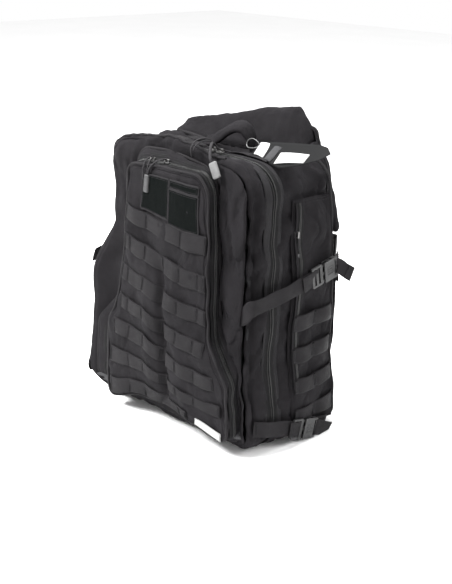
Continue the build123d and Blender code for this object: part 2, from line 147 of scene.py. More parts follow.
def outline(pts, radii, m):
    """A closed rounded outline as m evenly spaced points, from the middle of the foot, to the right, up and over."""
    pts = [np.array(p, float) for p in pts]
    out = []
    n = len(pts)
    for i in range(n):
        a, b, c = pts[i - 1], pts[i], pts[(i + 1) % n]
        u, v = (a - b) / np.linalg.norm(a - b), (c - b) / np.linalg.norm(c - b)
        ang = math.acos(np.clip(u @ v, -1, 1))
        t = radii[i] / math.tan(ang / 2)
        o = b + (u + v) / np.linalg.norm(u + v) * (radii[i] / math.sin(ang / 2))
        p, q = b + u * t - o, b + v * t - o
        a0 = math.atan2(p[1], p[0]); a1 = math.atan2(q[1], q[0])
        da = (a1 - a0 + math.pi) % (2 * math.pi) - math.pi
        for k in range(13):
            an = a0 + da * k / 12
            out.append(o + radii[i] * np.array([math.cos(an), math.sin(an)]))
    out = np.array(out)
    seg = np.linalg.norm(np.roll(out, -1, 0) - out, axis=1)
    start = np.array([0.0, out[:, 1].min()])
    s = np.concatenate([[0], np.cumsum(seg)])
    loop = np.vstack([out, out[:1]])
    dense = np.stack([np.interp(np.linspace(0, s[-1], 8000, endpoint=False), s, loop[:, k]) for k in (0, 1)], 1)
    k0 = np.argmin(np.abs(dense[:, 0]) + (dense[:, 1] > dense[:, 1].mean()) * 1e6)
    dense = np.roll(dense, -k0, 0)
    if dense[50, 0] < dense[0, 0]:
        dense = np.roll(dense[::-1], 1, 0)
    idx = (np.arange(m) * 8000 / m)
    return np.stack([np.interp(idx, np.arange(8001), np.append(dense[:, k], dense[0, k])) for k in (0, 1)], 1)


def normals2(O):
    t = np.roll(O, -1, 0) - np.roll(O, 1, 0)
    n = np.stack([t[:, 1], -t[:, 0]], 1)
    n /= np.linalg.norm(n, axis=1)[:, None]
    return n                                            # outward


def length2(O):
    return np.concatenate([[0], np.cumsum(np.linalg.norm(np.roll(O, -1, 0) - O, axis=1))])


# ================================================================== meshes
class Build:
    """Collects vertices in millimetres, faces, a UV in metres for each corner, and a material index."""
    def __init__(self):
        self.V, self.F, self.UV, self.M, self.n = [], [], [], [], 0

    def add(self, V, F, UV=None, m=0):
        V = np.asarray(V, float).reshape(-1, 3)
        for k, f in enumerate(F):
            self.F.append([int(i) + self.n for i in f])
            self.M.append(m)
            if UV is None:
                self.UV.extend([(0.0, 0.0)] * len(f))
            else:
                self.UV.extend([(float(a) / 1000, float(b) / 1000) for a, b in UV[k]])
        self.V.append(V)
        self.n += len(V)
        return self

    def verts(self):
        return np.vstack(self.V)

    def to(self, name, mats, smooth=True, V=None):
        V = self.verts() if V is None else V
        me = bpy.data.meshes.new(name)
        me.from_pydata((V / 1000).tolist(), [], self.F)
        uv = me.uv_layers.new(name="UVMap")
        uv.data.foreach_set("uv", np.array(self.UV, np.float32).ravel())
        me.polygons.foreach_set("material_index", np.array(self.M, np.int32))
        me.polygons.foreach_set("use_smooth", np.full(len(self.F), smooth))
        for m in mats:
            me.materials.append(m)
        me.update()
        o = bpy.data.objects.new(name, me)
        bpy.context.scene.collection.objects.link(o)
        return o


def sheet_faces(nu, nv, U, Vv, wrap=False, flip=False):
    F, UV = [], []
    for i in range(nu if wrap else nu - 1):
        i2 = (i + 1) % nu
        for j in range(nv - 1):
            f = [i * nv + j, i2 * nv + j, i2 * nv + j + 1, i * nv + j + 1]
            t = [(U[i], Vv[j]), (U[i + 1], Vv[j]), (U[i + 1], Vv[j + 1]), (U[i], Vv[j + 1])]
            if flip:
                f, t = f[::-1], t[::-1]
            F.append(f); UV.append(t)
    return F, UV


def frames(path, up):
    t = np.gradient(path, axis=0)
    t /= np.linalg.norm(t, axis=1)[:, None] + 1e-9
    up = np.broadcast_to(np.asarray(up, float), path.shape)
    s = np.cross(t, up)
    s /= np.linalg.norm(s, axis=1)[:, None] + 1e-9
    u = np.cross(s, t)
    return t, s, u


def sweep(B, path, prof, up, m=0, closed=False, caps=True, scale=None):
    """Sweeps a closed profile (side, up) along a path.  UV is along, around."""
    path = np.asarray(path, float)
    if closed:
        ext = np.vstack([path[-1:], path, path[:1]])
        upx = np.broadcast_to(np.asarray(up, float), path.shape)
        t, s, u = frames(ext, np.vstack([upx[-1:], upx, upx[:1]]))
        s, u = s[1:-1], u[1:-1]
    else:
        t, s, u = frames(path, up)
    prof = np.asarray(prof, float)
    k, n = len(prof), len(path)
    sc = np.ones(n) if scale is None else np.asarray(scale)
    V = path[:, None] + s[:, None] * prof[None, :, :1] * sc[:, None, None] + u[:, None] * prof[None, :, 1:] * sc[:, None, None]
    seg = np.linalg.norm(np.diff(path, axis=0, append=path[:1] if closed else path[-1:]), axis=1)
    L = np.concatenate([[0], np.cumsum(seg)])
    C = np.concatenate([[0], np.cumsum(np.linalg.norm(np.roll(prof, -1, 0) - prof, axis=1))])
    F, UV = [], []
    for i in range(n if closed else n - 1):
        i2 = (i + 1) % n
        for j in range(k):
            j2 = (j + 1) % k
            F.append([i * k + j, i2 * k + j, i2 * k + j2, i * k + j2][::-1])
            UV.append([(L[i], C[j]), (L[i + 1], C[j]), (L[i + 1], C[j + 1]), (L[i], C[j + 1])][::-1])
    if caps and not closed:
        F.append(list(range(k))); UV.append([(p[0], p[1]) for p in prof])
        F.append([(n - 1) * k + j for j in range(k)][::-1]); UV.append([(p[0], p[1]) for p in prof][::-1])
    B.add(V.reshape(-1, 3), F, UV, m)
    return B


def circle(r, n=8, rx=1.0):
    a = np.arange(n) * 2 * math.pi / n
    return np.stack([r * rx * np.cos(a), r * np.sin(a)], 1)


def bandprof(w, t, n=7):
    """Section of a woven band: flat, with rolled edges."""
    xs = np.linspace(-w / 2 + t / 2, w / 2 - t / 2, n)
    top = [(x, t / 2) for x in xs] + [(w / 2 - t * .12, t * .3), (w / 2, 0), (w / 2 - t * .12, -t * .3)]
    bot = [(x, -t / 2) for x in xs[::-1]] + [(-w / 2 + t * .12, -t * .3), (-w / 2, 0), (-w / 2 + t * .12, t * .3)]
    return np.array(top + bot)


def spline(pts, step=3.0, closed=False):
    """Catmull-Rom through the points, evenly resampled."""
    P = np.array(pts, float)
    Q = np.vstack([P[-1:], P, P[:2]]) if closed else np.vstack([2 * P[0] - P[1], P, 2 * P[-1] - P[-2]])
    out = []
    for i in range(len(Q) - 3):
        p0, p1, p2, p3 = Q[i:i + 4]
        for t in np.linspace(0, 1, 16, endpoint=False):
            out.append(0.5 * ((2 * p1) + (p2 - p0) * t + (2 * p0 - 5 * p1 + 4 * p2 - p3) * t * t + (3 * p1 - p0 - 3 * p2 + p3) * t ** 3))
    if not closed:
        out.append(P[-1])
    out = np.array(out)
    L = np.concatenate([[0], np.cumsum(np.linalg.norm(np.diff(out, axis=0), axis=1))])
    n = max(4, int(L[-1] / step))
    s = np.linspace(0, L[-1], n + 1)
    return np.stack([np.interp(s, L, out[:, k]) for k in range(3)], 1)


def stitches(B, path, normal, pitch=3.4, length=2.3, r=0.3, m=0, lift=0.1):
    """A row of thread stitches along a path."""
    path = np.asarray(path, float)
    seg = np.linalg.norm(np.diff(path, axis=0), axis=1)
    L = np.concatenate([[0], np.cumsum(seg)])
    nrm = np.broadcast_to(np.asarray(normal, float), path.shape)
    at = np.arange(pitch / 2, L[-1] - pitch / 2, pitch)
    if not len(at):
        return B
    c = np.stack([np.interp(at, L, path[:, k]) for k in range(3)], 1)
    a = np.stack([np.interp(at - length / 2, L, path[:, k]) for k in range(3)], 1)
    b = np.stack([np.interp(at + length / 2, L, path[:, k]) for k in range(3)], 1)
    n = np.stack([np.interp(at, L, nrm[:, k]) for k in range(3)], 1)
    n /= np.linalg.norm(n, axis=1)[:, None]
    t = b - a; t /= np.linalg.norm(t, axis=1)[:, None]
    s = np.cross(t, n)
    ring = []
    for p, h in ((a, -.2), (a * .75 + b * .25, .75), (a * .25 + b * .75, .75), (b, -.2)):
        for an in (0, 90, 180, 270):
            ca, sa = math.cos(math.radians(an)), math.sin(math.radians(an))
            ring.append(p + s * (r * ca) + n * (r * sa * (1 if h > 0 else .3) + lift + r * h))
    V = np.stack(ring, 1).reshape(-1, 3)
    F = []
    for i in range(len(at)):
        o = i * 16
        for q in range(3):
            for j in range(4):
                F.append([o + q * 4 + j, o + q * 4 + (j + 1) % 4, o + q * 4 + 4 + (j + 1) % 4, o + q * 4 + 4 + j])
    B.add(V, F, None, m)
    return B


def bartack(B, c, along, across, nrm, length=20.0, width=2.6, m=0):
    """A dense zigzag bar of thread."""
    c, along, across, nrm = (np.asarray(v, float) for v in (c, along, across, nrm))
    n = int(length / 1.25)
    ts = np.linspace(-length / 2, length / 2, n + 1)
    pts = np.array([c + along * t + across * (width / 2 * (1 if i % 2 else -1)) + nrm * 0.35 for i, t in enumerate(ts)])
    sweep(B, pts, circle(0.42, 5), nrm, m)
    return B


def vertex_normals(V, F):
    N = np.zeros_like(V)
    tri = np.array([[f[0], f[1], f[2]] for f in F] + [[f[0], f[2], f[3]] for f in F if len(f) == 4])
    n = np.cross(V[tri[:, 1]] - V[tri[:, 0]], V[tri[:, 2]] - V[tri[:, 0]])
    for k in range(3):
        np.add.at(N, tri[:, k], n)
    return N / (np.linalg.norm(N, axis=1)[:, None] + 1e-9)


def square_map(m):
    """Square grid of m by m cells, each point given as (radius, perimeter parameter 0..1 from the middle of the foot)."""
    a = np.linspace(-1, 1, m + 1)
    A, Bq = np.meshgrid(a, a, indexing="ij")
    R = np.maximum(np.abs(A), np.abs(Bq))
    with np.errstate(divide="ignore", invalid="ignore"):
        x, y = np.where(R > 0, A / R, 0), np.where(R > 0, Bq / R, -1)
    s = np.zeros_like(A)
    e = 1e-9
    bot = y <= -1 + e; right = (x >= 1 - e) & ~bot; topm = (y >= 1 - e) & ~right & ~bot; left = (x <= -1 + e) & ~topm & ~bot
    s = np.where(bot, np.where(x >= 0, x / 8, 1 + x / 8), s)
    s = np.where(right, 1 / 8 + (y + 1) / 8, s)
    s = np.where(topm, 3 / 8 + (1 - x) / 8, s)
    s = np.where(left, 5 / 8 + (1 - y) / 8, s)
    return R, s % 1.0


def cap_faces(B, O, y, m, centre, bulge=None, flip=False, mi=0):
    """Fills an outline of 4*m points (XZ) with a square-mapped grid at depth y; returns nothing, vertices are its own."""
    R, s = square_map(m)
    N4 = len(O)
    idx = s * N4
    i0 = np.floor(idx + 1e-6).astype(int) % N4
    f = idx - np.floor(idx + 1e-6)
    P = O[i0] * (1 - f)[..., None] + O[(i0 + 1) % N4] * f[..., None]
    P = np.array(centre) + (P - np.array(centre)) * R[..., None]
    Y = np.full(R.shape, float(y)) if bulge is None else y + bulge(P[..., 0], P[..., 1], R)
    V = np.stack([P[..., 0], Y, P[..., 1]], -1).reshape(-1, 3)
    F, UV = [], []
    k = m + 1
    for i in range(m):
        for j in range(m):
            f4 = [i * k + j, (i + 1) * k + j, (i + 1) * k + j + 1, i * k + j + 1]
            if flip:
                f4 = f4[::-1]
            F.append(f4); UV.append([(V[q, 0], V[q, 2]) for q in f4])
    B.add(V, F, UV, mi)


def tray(O, y_rim, y_face, m, edge=4.0, centre=(0, 220), rows=8, bulge=None, face=True, keep=None):
    """A tray: a side wall from the rim to a rounded edge, then the face.  Outward normals."""
    front = y_face < y_rim
    sg = -1.0 if front else 1.0
    n2 = normals2(O)
    L = length2(O)
    ys, ins = list(np.linspace(y_rim, y_face - sg * edge, rows)), [0.0] * rows
    for q in range(1, 6):
        a = math.radians(90 * q / 5)
        ys.append(y_face - sg * edge * (1 - math.sin(a))); ins.append(edge * (1 - math.cos(a)))
    W = np.stack([np.stack([O[:, 0] - n2[:, 0] * i, np.full(len(O), yy), O[:, 1] - n2[:, 1] * i], 1) for yy, i in zip(ys, ins)], 1)
    nv = len(ys)
    vv = np.concatenate([[0], np.cumsum(np.hypot(np.diff(ys), np.diff(ins)))])
    F, UV = sheet_faces(len(O), nv, L, vv, wrap=True, flip=not front)
    if keep is not None:
        mask = [keep(W[i, 0]) for i in range(len(O))]
        sel = [k for k in range(len(F)) if mask[k // (nv - 1)] or k % (nv - 1) >= rows - 1]
        F, UV = [F[k] for k in sel], [UV[k] for k in sel]
    B = Build()
    B.add(W.reshape(-1, 3), F, UV, 0)
    if face:
        cap_faces(B, W[:, -1][:, [0, 2]], y_face, m, centre, bulge, flip=not front)
    return B


def merge(o, dist=0.00002):
    bm = bmesh.new(); bm.from_mesh(o.data)
    bmesh.ops.remove_doubles(bm, verts=bm.verts, dist=dist)
    bm.to_mesh(o.data); bm.free()
    return o


def crumple(V, F, amp=1.0, fine=0.28):
    """Surface wrinkles along the normals."""
    N = vertex_normals(V, F)
    return V + N * (amp * (0.9 * MID[1](V * 1.2) - 2.0 * creases(V)) + fine * FINE(V))[:, None]


def thicken(o, t, lining=None, offset=-1.0):
    md = o.modifiers.new("Thickness", "SOLIDIFY")
    md.thickness = t / 1000
    md.offset = offset
    md.use_rim = True
    if lining is not None:
        md.material_offset = lining
    return o


def subdiv(o, n=1):
    md = o.modifiers.new("Subdivision", "SUBSURF"); md.levels = n; md.render_levels = n
    return o


def bevel(o, w, seg=2, angle=35):
    md = o.modifiers.new("Bevel", "BEVEL"); md.width = w / 1000; md.segments = seg; md.limit_method = "ANGLE"; md.angle_limit = math.radians(angle)
    return o


def done(o, body, nodes=()):
    """Gives a piece its body by name; for a joint or a pair of bodies it only bakes the transform into the mesh."""
    if isinstance(body, str):
        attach(o, body)
    elif len(body) == 4:
        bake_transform(o)
    else:
        # a strap: from where it turns the lid's edge to its tongue
        co = np.array([v.co for v in o.data.vertices])
        far = co[co[:, 1].argmax()]
        near = co[np.abs(co[:, 0]) > 0.15]
        near = near[near[:, 1].argmin()]
        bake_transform(o)
    if nodes:
        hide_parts(*nodes)
    return o


# ================================================================== materials
class Mat:
    def __init__(self, name):
        self.m = bpy.data.materials.new(name)
        self.m.use_nodes = True
        self.t = self.m.node_tree
        self.t.nodes.clear()
        self.out = self.t.nodes.new("ShaderNodeOutputMaterial")
        self.b = self.t.nodes.new("ShaderNodeBsdfPrincipled")
        self.t.links.new(self.b.outputs[0], self.out.inputs["Surface"])
        self.tc = self.t.nodes.new("ShaderNodeTexCoord")

    def set(self, **kw):
        for k, v in kw.items():
            self.b.inputs[k.replace("_", " ")].default_value = v
        return self

    def link(self, a, b):
        self.t.links.new(a, b)

    def _in(self, node, i, v):
        if v is None:
            return
        if hasattr(v, "links"):
            self.link(v, node.inputs[i])
        else:
            node.inputs[i].default_value = v

    def math(self, op, a, b=None, c=None, clamp=False):
        n = self.t.nodes.new("ShaderNodeMath"); n.operation = op; n.use_clamp = clamp
        for i, v in enumerate((a, b, c)):
            self._in(n, i, v)
        return n.outputs[0]

    def noise(self, scale, detail=2.0, rough=0.5, vec=None, stretch=None, distortion=0.0):
        v = vec or self.tc.outputs["Object"]
        if stretch:
            mp = self.t.nodes.new("ShaderNodeMapping"); mp.inputs["Scale"].default_value = stretch
            self.link(v, mp.inputs[0]); v = mp.outputs[0]
        n = self.t.nodes.new("ShaderNodeTexNoise")
        n.inputs["Scale"].default_value = scale; n.inputs["Detail"].default_value = detail
        n.inputs["Roughness"].default_value = rough; n.inputs["Distortion"].default_value = distortion
        self.link(v, n.inputs["Vector"])
        return n.outputs["Fac"]

    def ramp(self, fac, lo, hi, a=0.0, b=1.0):
        n = self.t.nodes.new("ShaderNodeMapRange"); n.clamp = True
        for i, v in enumerate((fac, lo, hi, a, b)):
            self._in(n, i, v)
        return n.outputs[0]

    def mix(self, fac, a, b):
        n = self.t.nodes.new("ShaderNodeMix"); n.data_type = "RGBA"
        self._in(n, 0, fac)
        for i, v in ((6, a), (7, b)):
            if hasattr(v, "links"):
                self.link(v, n.inputs[i])
            else:
                n.inputs[i].default_value = (*v, 1.0)
        return n.outputs[2]

    def scale(self, col, f):
        n = self.t.nodes.new("ShaderNodeVectorMath"); n.operation = "SCALE"
        if hasattr(col, "links"):
            self.link(col, n.inputs[0])
        else:
            n.inputs[0].default_value = col
        self._in(n, 3, f)
        return n.outputs[0]

    def uv(self):
        n = self.t.nodes.new("ShaderNodeSeparateXYZ"); self.link(self.tc.outputs["UV"], n.inputs[0])
        return n.outputs[0], n.outputs[1]

    def xyz(self, what="Object"):
        n = self.t.nodes.new("ShaderNodeSeparateXYZ"); self.link(self.tc.outputs[what], n.inputs[0])
        return n.outputs[0], n.outputs[1], n.outputs[2]

    def wave(self, x, pitch, phase=0.0):
        return self.math("SINE", self.math("MULTIPLY_ADD", x, 2 * math.pi / pitch, phase))

    def bump(self, h, dist, strength=1.0):
        n = self.t.nodes.new("ShaderNodeBump"); n.inputs["Strength"].default_value = strength; n.inputs["Distance"].default_value = dist
        self.link(h, n.inputs["Height"]); self.link(n.outputs[0], self.b.inputs["Normal"])
        return self

    def color(self, c):
        self.link(c, self.b.inputs["Base Color"]); return self

    def rough(self, r):
        self.link(r, self.b.inputs["Roughness"]) if hasattr(r, "links") else self.set(Roughness=r)
        return self


def fabric(name, base, pitch=0.0011, sheen=0.18, rough=(0.62, 0.82), bump=0.00034, uv=True, vary=0.46, basket=True, dust=0.008):
    g = Mat(name)
    if uv:
        u, v = g.uv()
        weave = g.math("MULTIPLY", g.wave(u, pitch), g.wave(v, pitch))
        if basket:
            weave = g.math("ADD", weave, g.math("MULTIPLY", g.math("MULTIPLY", g.wave(u, pitch * 2), g.wave(v, pitch * 2)), 0.5))
    else:
        x, y, z = g.xyz("Object"); nx, ny, nz = g.xyz("Normal")
        sx, sy, sz = g.wave(x, pitch), g.wave(y, pitch), g.wave(z, pitch)
        weave = g.math("MULTIPLY", g.math("MULTIPLY", sx, sz), g.math("ABSOLUTE", ny))
        weave = g.math("ADD", weave, g.math("MULTIPLY", g.math("MULTIPLY", sy, sz), g.math("ABSOLUTE", nx)))
        weave = g.math("ADD", weave, g.math("MULTIPLY", g.math("MULTIPLY", sx, sy), g.math("ABSOLUTE", nz)))
    big = g.noise(9.0, 3.0, 0.55)
    mid = g.noise(70.0, 4.0, 0.6)
    speck = g.noise(900.0, 2.0, 0.7)
    f = g.math("ADD", g.ramp(big, 0.3, 0.7, 1 - vary / 2, 1 + vary / 2), g.math("MULTIPLY", g.math("SUBTRACT", mid, 0.5), 0.35))
    f = g.math("ADD", f, g.math("MULTIPLY", weave, 0.10))
    col = g.scale(base, f)
    col = g.mix(g.math("MULTIPLY", g.ramp(speck, 0.60, 0.78), dust), col, (0.30, 0.30, 0.31))
    g.color(col)
    g.rough(g.ramp(g.noise(40.0, 3.0), 0.3, 0.7, rough[0], rough[1]))
    h = g.math("ADD", g.math("MULTIPLY", weave, 0.5), g.math("MULTIPLY", speck, 0.35))
    h = g.math("ADD", h, g.math("MULTIPLY", mid, 1.2))
    g.bump(h, bump, 0.9)
    g.set(Sheen_Weight=sheen, Sheen_Roughness=0.45, Specular_IOR_Level=0.035)
    g.b.inputs["Sheen Tint"].default_value = (0.85, 0.87, 0.95, 1)
    return g.m


def webbing_mat(name, base, rough=(0.5, 0.68)):
    g = Mat(name)
    u, v = g.uv()
    ribs = g.wave(v, 0.0016)
    chev = g.wave(g.math("ADD", u, g.math("MULTIPLY", g.math("ABSOLUTE", g.wave(v, 0.0032)), 0.0006)), 0.0011)
    h = g.math("ADD", g.math("MULTIPLY", ribs, 0.6), g.math("MULTIPLY", chev, 0.45))
    big = g.noise(14.0, 3.0); fuzz = g.noise(1100.0, 2.0, 0.7)
    f = g.math("ADD", g.ramp(big, 0.3, 0.7, 0.84, 1.16), g.math("MULTIPLY", h, 0.10))
    f = g.math("ADD", f, g.math("MULTIPLY", g.math("SUBTRACT", fuzz, 0.5), 0.35))
    g.color(g.scale(base, f))
    g.rough(g.ramp(g.noise(60.0), 0.3, 0.7, rough[0], rough[1]))
    g.bump(g.math("ADD", h, g.math("MULTIPLY", fuzz, 0.5)), 0.00024, 0.9)
    g.set(Sheen_Weight=0.015, Sheen_Roughness=0.4, Specular_IOR_Level=0.045)
    return g.m


def polymer(name, base, rough=(0.32, 0.5), wear=0.5):
    g = Mat(name)
    geo = g.t.nodes.new("ShaderNodeNewGeometry")
    edge = g.math("MULTIPLY", g.ramp(geo.outputs["Pointiness"], 0.515, 0.60), g.ramp(g.noise(260.0, 4.0, 0.7), 0.42, 0.62))
    grain = g.noise(2200.0, 2.0, 0.6)
    f = g.ramp(g.noise(35.0, 3.0), 0.3, 0.7, 0.85, 1.2)
    g.color(g.mix(g.math("MULTIPLY", edge, wear), g.scale(base, f), (0.16, 0.16, 0.165)))
    g.rough(g.ramp(g.noise(90.0, 4.0, 0.65), 0.3, 0.7, rough[0], rough[1]))
    g.bump(grain, 0.00004, 0.6)
    g.set(Specular_IOR_Level=0.3)
    return g.m


def metal(name, base, bare=(0.22, 0.215, 0.21), wear=(0.53, 0.60)):
    g = Mat(name)
    geo = g.t.nodes.new("ShaderNodeNewGeometry")
    edge = g.math("MULTIPLY", g.ramp(geo.outputs["Pointiness"], wear[0], wear[1]), g.ramp(g.noise(500.0, 4.0, 0.7), 0.32, 0.5), None, True)
    scratch = g.noise(400.0, 3.0, 0.6, stretch=(1, 6, 1))
    g.color(g.mix(edge, g.scale(base, g.ramp(g.noise(60.0), 0.3, 0.7, 0.8, 1.2)), bare))
    g.link(edge, g.b.inputs["Metallic"])
    g.rough(g.ramp(scratch, 0.3, 0.7, 0.22, 0.42))
    g.bump(scratch, 0.00003, 0.5)
    return g.m


def mesh_cloth(name, base, pitch=0.0028):
    g = Mat(name)
    x, y, z = g.xyz("Object"); nx, ny, nz = g.xyz("Normal")
    hx = g.math("MULTIPLY", g.wave(g.math("ADD", x, g.math("MULTIPLY", z, 0.5)), pitch), g.wave(g.math("SUBTRACT", z, g.math("MULTIPLY", x, 0.3)), pitch))
    hy = g.math("MULTIPLY", g.wave(y, pitch), g.wave(z, pitch))
    h = g.math("ADD", g.math("MULTIPLY", hx, g.math("ABSOLUTE", ny)), g.math("MULTIPLY", hy, g.math("ABSOLUTE", nx)))
    hole = g.ramp(h, 0.15, 0.55)
    f = g.ramp(g.noise(18.0, 3.0), 0.3, 0.7, 0.85, 1.15)
    # The holes are coloured at 0.22 of the base: painted shade in the mesh's recesses, beside the bump that sinks them.
    g.color(g.mix(hole, g.scale(base, f), tuple(c * 0.22 for c in base)))
    g.rough(g.ramp(g.noise(50.0), 0.3, 0.7, 0.7, 0.88))
    g.bump(g.math("MULTIPLY", hole, -1.0), 0.0005, 0.9)
    g.set(Sheen_Weight=0.03, Sheen_Roughness=0.5, Specular_IOR_Level=0.12)
    return g.m


def pile(name, base):
    g = Mat(name)
    n1 = g.noise(1500.0, 3.0, 0.75); n2 = g.noise(420.0, 3.0, 0.6)
    u, v = g.uv()
    rows = g.math("MULTIPLY", g.wave(u, 0.0022), g.wave(v, 0.0019))
    f = g.math("ADD", g.ramp(n1, 0.3, 0.75, 0.35, 1.45), g.math("MULTIPLY", g.math("SUBTRACT", n2, 0.5), 0.5))
    g.color(g.scale(base, f))
    g.rough(0.95)
    g.bump(g.math("ADD", n1, g.math("MULTIPLY", rows, 0.25)), 0.0011, 1.0)
    g.set(Sheen_Weight=0.004, Sheen_Roughness=0.6, Specular_IOR_Level=0.015)
    return g.m


def paper(name, base, stain=(0.62, 0.61, 0.58)):
    g = Mat(name)
    n = g.noise(40.0, 4.0, 0.6); fib = g.noise(900.0, 3.0, 0.7)
    g.color(g.mix(g.ramp(n, 0.55, 0.8, 0.0, 0.35), g.scale(base, g.ramp(fib, 0.3, 0.7, 0.96, 1.02)), stain))
    g.rough(g.ramp(n, 0.3, 0.7, 0.45, 0.62))
    g.set(Specular_IOR_Level=0.04 if max(base) < 0.2 else 0.2)
    g.bump(fib, 0.00003, 0.5)
    return g.m


NYLON = fabric("Nylon.Weave", (0.0104, 0.0096, 0.0106), sheen=0.012)
LINING = fabric("Nylon.Lining", (0.0150, 0.0150, 0.0158), pitch=0.0006, sheen=0.01, rough=(0.5, 0.66), bump=0.0001, basket=False)
PADDED = fabric("Nylon.Padded", (0.0108, 0.0100, 0.0110), uv=False, sheen=0.015, rough=(0.6, 0.8))
BINDING = webbing_mat("Binding.Grosgrain", (0.0138, 0.0130, 0.0140))
# Welt fabric: its base colour, lighter than the shell nylon, is painted highlight for the strip that catches the top
# light; the finer weave and lower roughness are its own.
WELT_PAINTED_HIGHLIGHT = fabric("Nylon.Welt_PaintedHighlight", (0.0165, 0.0158, 0.0168), pitch=0.0008, sheen=0.02, rough=(0.42, 0.58), basket=False)
WEBBING = webbing_mat("Webbing.Ribbed", (0.0122, 0.0114, 0.0124))
TAPE = webbing_mat("Zipper.Tape", (0.0090, 0.0088, 0.0092), rough=(0.6, 0.8))
COIL = polymer("Zipper.Coil", (0.012, 0.012, 0.012), rough=(0.28, 0.42), wear=0.25)
THREAD = fabric("Thread.Bonded", (0.0165, 0.0158, 0.0168), uv=False, pitch=0.0005, sheen=0.02, rough=(0.4, 0.55), bump=0.00006, vary=0.15)
PILE = pile("Loop.Pile", (0.0042, 0.0052, 0.0050))
MESH = mesh_cloth("Mesh.Spacer", (0.018, 0.018, 0.019))
POLY = polymer("Polymer.Buckle", (0.010, 0.010, 0.0103))
METAL = metal("Metal.Slider", (0.035, 0.035, 0.036))
CORD = webbing_mat("Cord.Braid", (0.024, 0.023, 0.0245))
TAB_GREY = polymer("Tab.Grey", (0.11, 0.11, 0.11), rough=(0.4, 0.6), wear=0.1)
TAB_DARK = polymer("Tab.Dark", (0.034, 0.034, 0.035), rough=(0.42, 0.6), wear=0.2)
LABEL = webbing_mat("Label.Woven", (0.42, 0.42, 0.415), rough=(0.55, 0.7))
CARD = paper("Card.Coated", (0.40, 0.40, 0.395), stain=(0.34, 0.34, 0.335))
CARD_DARK = paper("Card.DarkBand", (0.008, 0.008, 0.0083), stain=(0.010, 0.010, 0.010))
LOOP = polymer("Loop.Plastic", (0.10, 0.10, 0.10), rough=(0.25, 0.4), wear=0.0)
# a lighter grey webbing, used for the zip-end tabs and the tag's grey panel
LIGHTWEB = webbing_mat("Webbing.LightGrey", (0.045, 0.045, 0.047))
SHEETM = polymer("Sheet.Moulded", (0.022, 0.022, 0.023), rough=(0.45, 0.6), wear=0.1)
BASE = fabric("Nylon.CoatedBase", (0.012, 0.012, 0.0125), pitch=0.0016, sheen=0.01, rough=(0.5, 0.68), bump=0.0003)

# ================================================================== helpers for pieces
X3, Y3, Z3 = np.eye(3)
M = 72
N4 = 4 * M
O_MAIN = outline([(-157, 4), (157, 4), (153, 442), (-153, 442)], [26, 26, 46, 46], N4)
O_LID = outline([(-155, 6), (155, 6), (151, 440), (-151, 440)], [26, 26, 46, 46], N4)
O_POCKET = outline([(-134, 18), (134, 18), (137, 140), (98, 215), (84, 420), (-84, 420), (-98, 215), (-137, 140)], [18, 18, 50, 60, 26, 26, 60, 50], N4)
O_SLEEVE = outline([(-132, 10), (132, 10), (132, 418), (108, 474), (-108, 474), (-132, 418)], [10, 10, 20, 14, 14, 20], N4)


def weld(B):
    V = B.verts()
    _, first, inv = np.unique(np.round(V, 3), axis=0, return_index=True, return_inverse=True)
    inv = inv.ravel()
    F, UV, Mi, p = [], [], [], 0
    for f, m in zip(B.F, B.M):
        g = [int(inv[i]) for i in f]
        uv = B.UV[p:p + len(f)]
        p += len(f)
        if len(set(g)) == len(g):
            F.append(g); UV.extend(uv); Mi.append(m)
    B.V, B.F, B.UV, B.M, B.n = [V[first]], F, UV, Mi, len(first)
    return B


def facing(V, F, out):
    """Mean of face normal against the wanted outward direction."""
    F4 = np.array([f[:3] for f in F])
    n = np.cross(V[F4[:, 1]] - V[F4[:, 0]], V[F4[:, 2]] - V[F4[:, 0]])
    c = V[F4].mean(1)
    return (n * out(c)).sum(1).mean()


def orient(B, out):
    """Turns every face of a build over where they look inward."""
    V = B.verts()
    if facing(V, B.F, out) < 0:
        UV, p = [], 0
        for k, f in enumerate(B.F):
            UV.extend(B.UV[p:p + len(f)][::-1]); p += len(f)
            B.F[k] = f[::-1]
        B.UV = UV
    return B


def join(*builds):
    B = Build()
    for b in builds:
        off = B.n
        B.V.extend(b.V); B.n += b.n
        B.F.extend([[i + off for i in f] for f in b.F]); B.UV.extend(b.UV); B.M.extend(b.M)
    return B


def around(c):
    return lambda p: p - np.asarray(c, float)


def toward(d):
    return lambda p: np.broadcast_to(np.asarray(d, float), p.shape)


def make_tray(O, y_rim, y_face, edge, rows, bulge=None, face=True, keep=None, centre=(0, 230), m=None):
    m = m or M
    wall = tray(O, y_rim, y_face, m, edge, centre, rows, face=False, keep=keep)
    orient(wall, around((0, (y_rim + y_face) / 2, 225)))
    if not face:
        return wall
    cap = Build()
    n2 = normals2(O)
    cap_faces(cap, O - n2 * edge, y_face, m, centre, bulge)
    orient(cap, toward((0, -1 if y_face < y_rim else 1, 0)))
    return join(wall, cap)


def soft(name, B, mats, body, nodes=(), amp=1.0, fine=0.25, pin=None, thick=2.2, lining=None, offset=-1.0, shape=None, noise=1.0, smooth=True):
    weld(B)
    V = B.verts()
    if shape is not None:
        V = shape(V)
    if amp or fine:
        C = crumple(V, B.F, amp, fine)
        V = V + (C - V) * (1.0 if pin is None else pin(V)[:, None])
    o = B.to(name, mats, smooth, warp(V, noise))
    if thick:
        thicken(o, thick, lining, offset)
    return done(o, body, nodes)


def ring(O, y, out, lo=None):
    """A path round an outline at depth y, pushed outward; open below the height lo.  Returns points, outward directions."""
    n2 = normals2(O)
    P = np.stack([O[:, 0] + n2[:, 0] * out, np.full(len(O), float(y)), O[:, 1] + n2[:, 1] * out], 1)
    N = np.stack([n2[:, 0], np.zeros(len(O)), n2[:, 1]], 1)
    if lo is not None:
        keep = np.where(O[:, 1] > lo)[0]
        P, N = P[keep[0]:keep[-1] + 1], N[keep[0]:keep[-1] + 1]
    return P, N


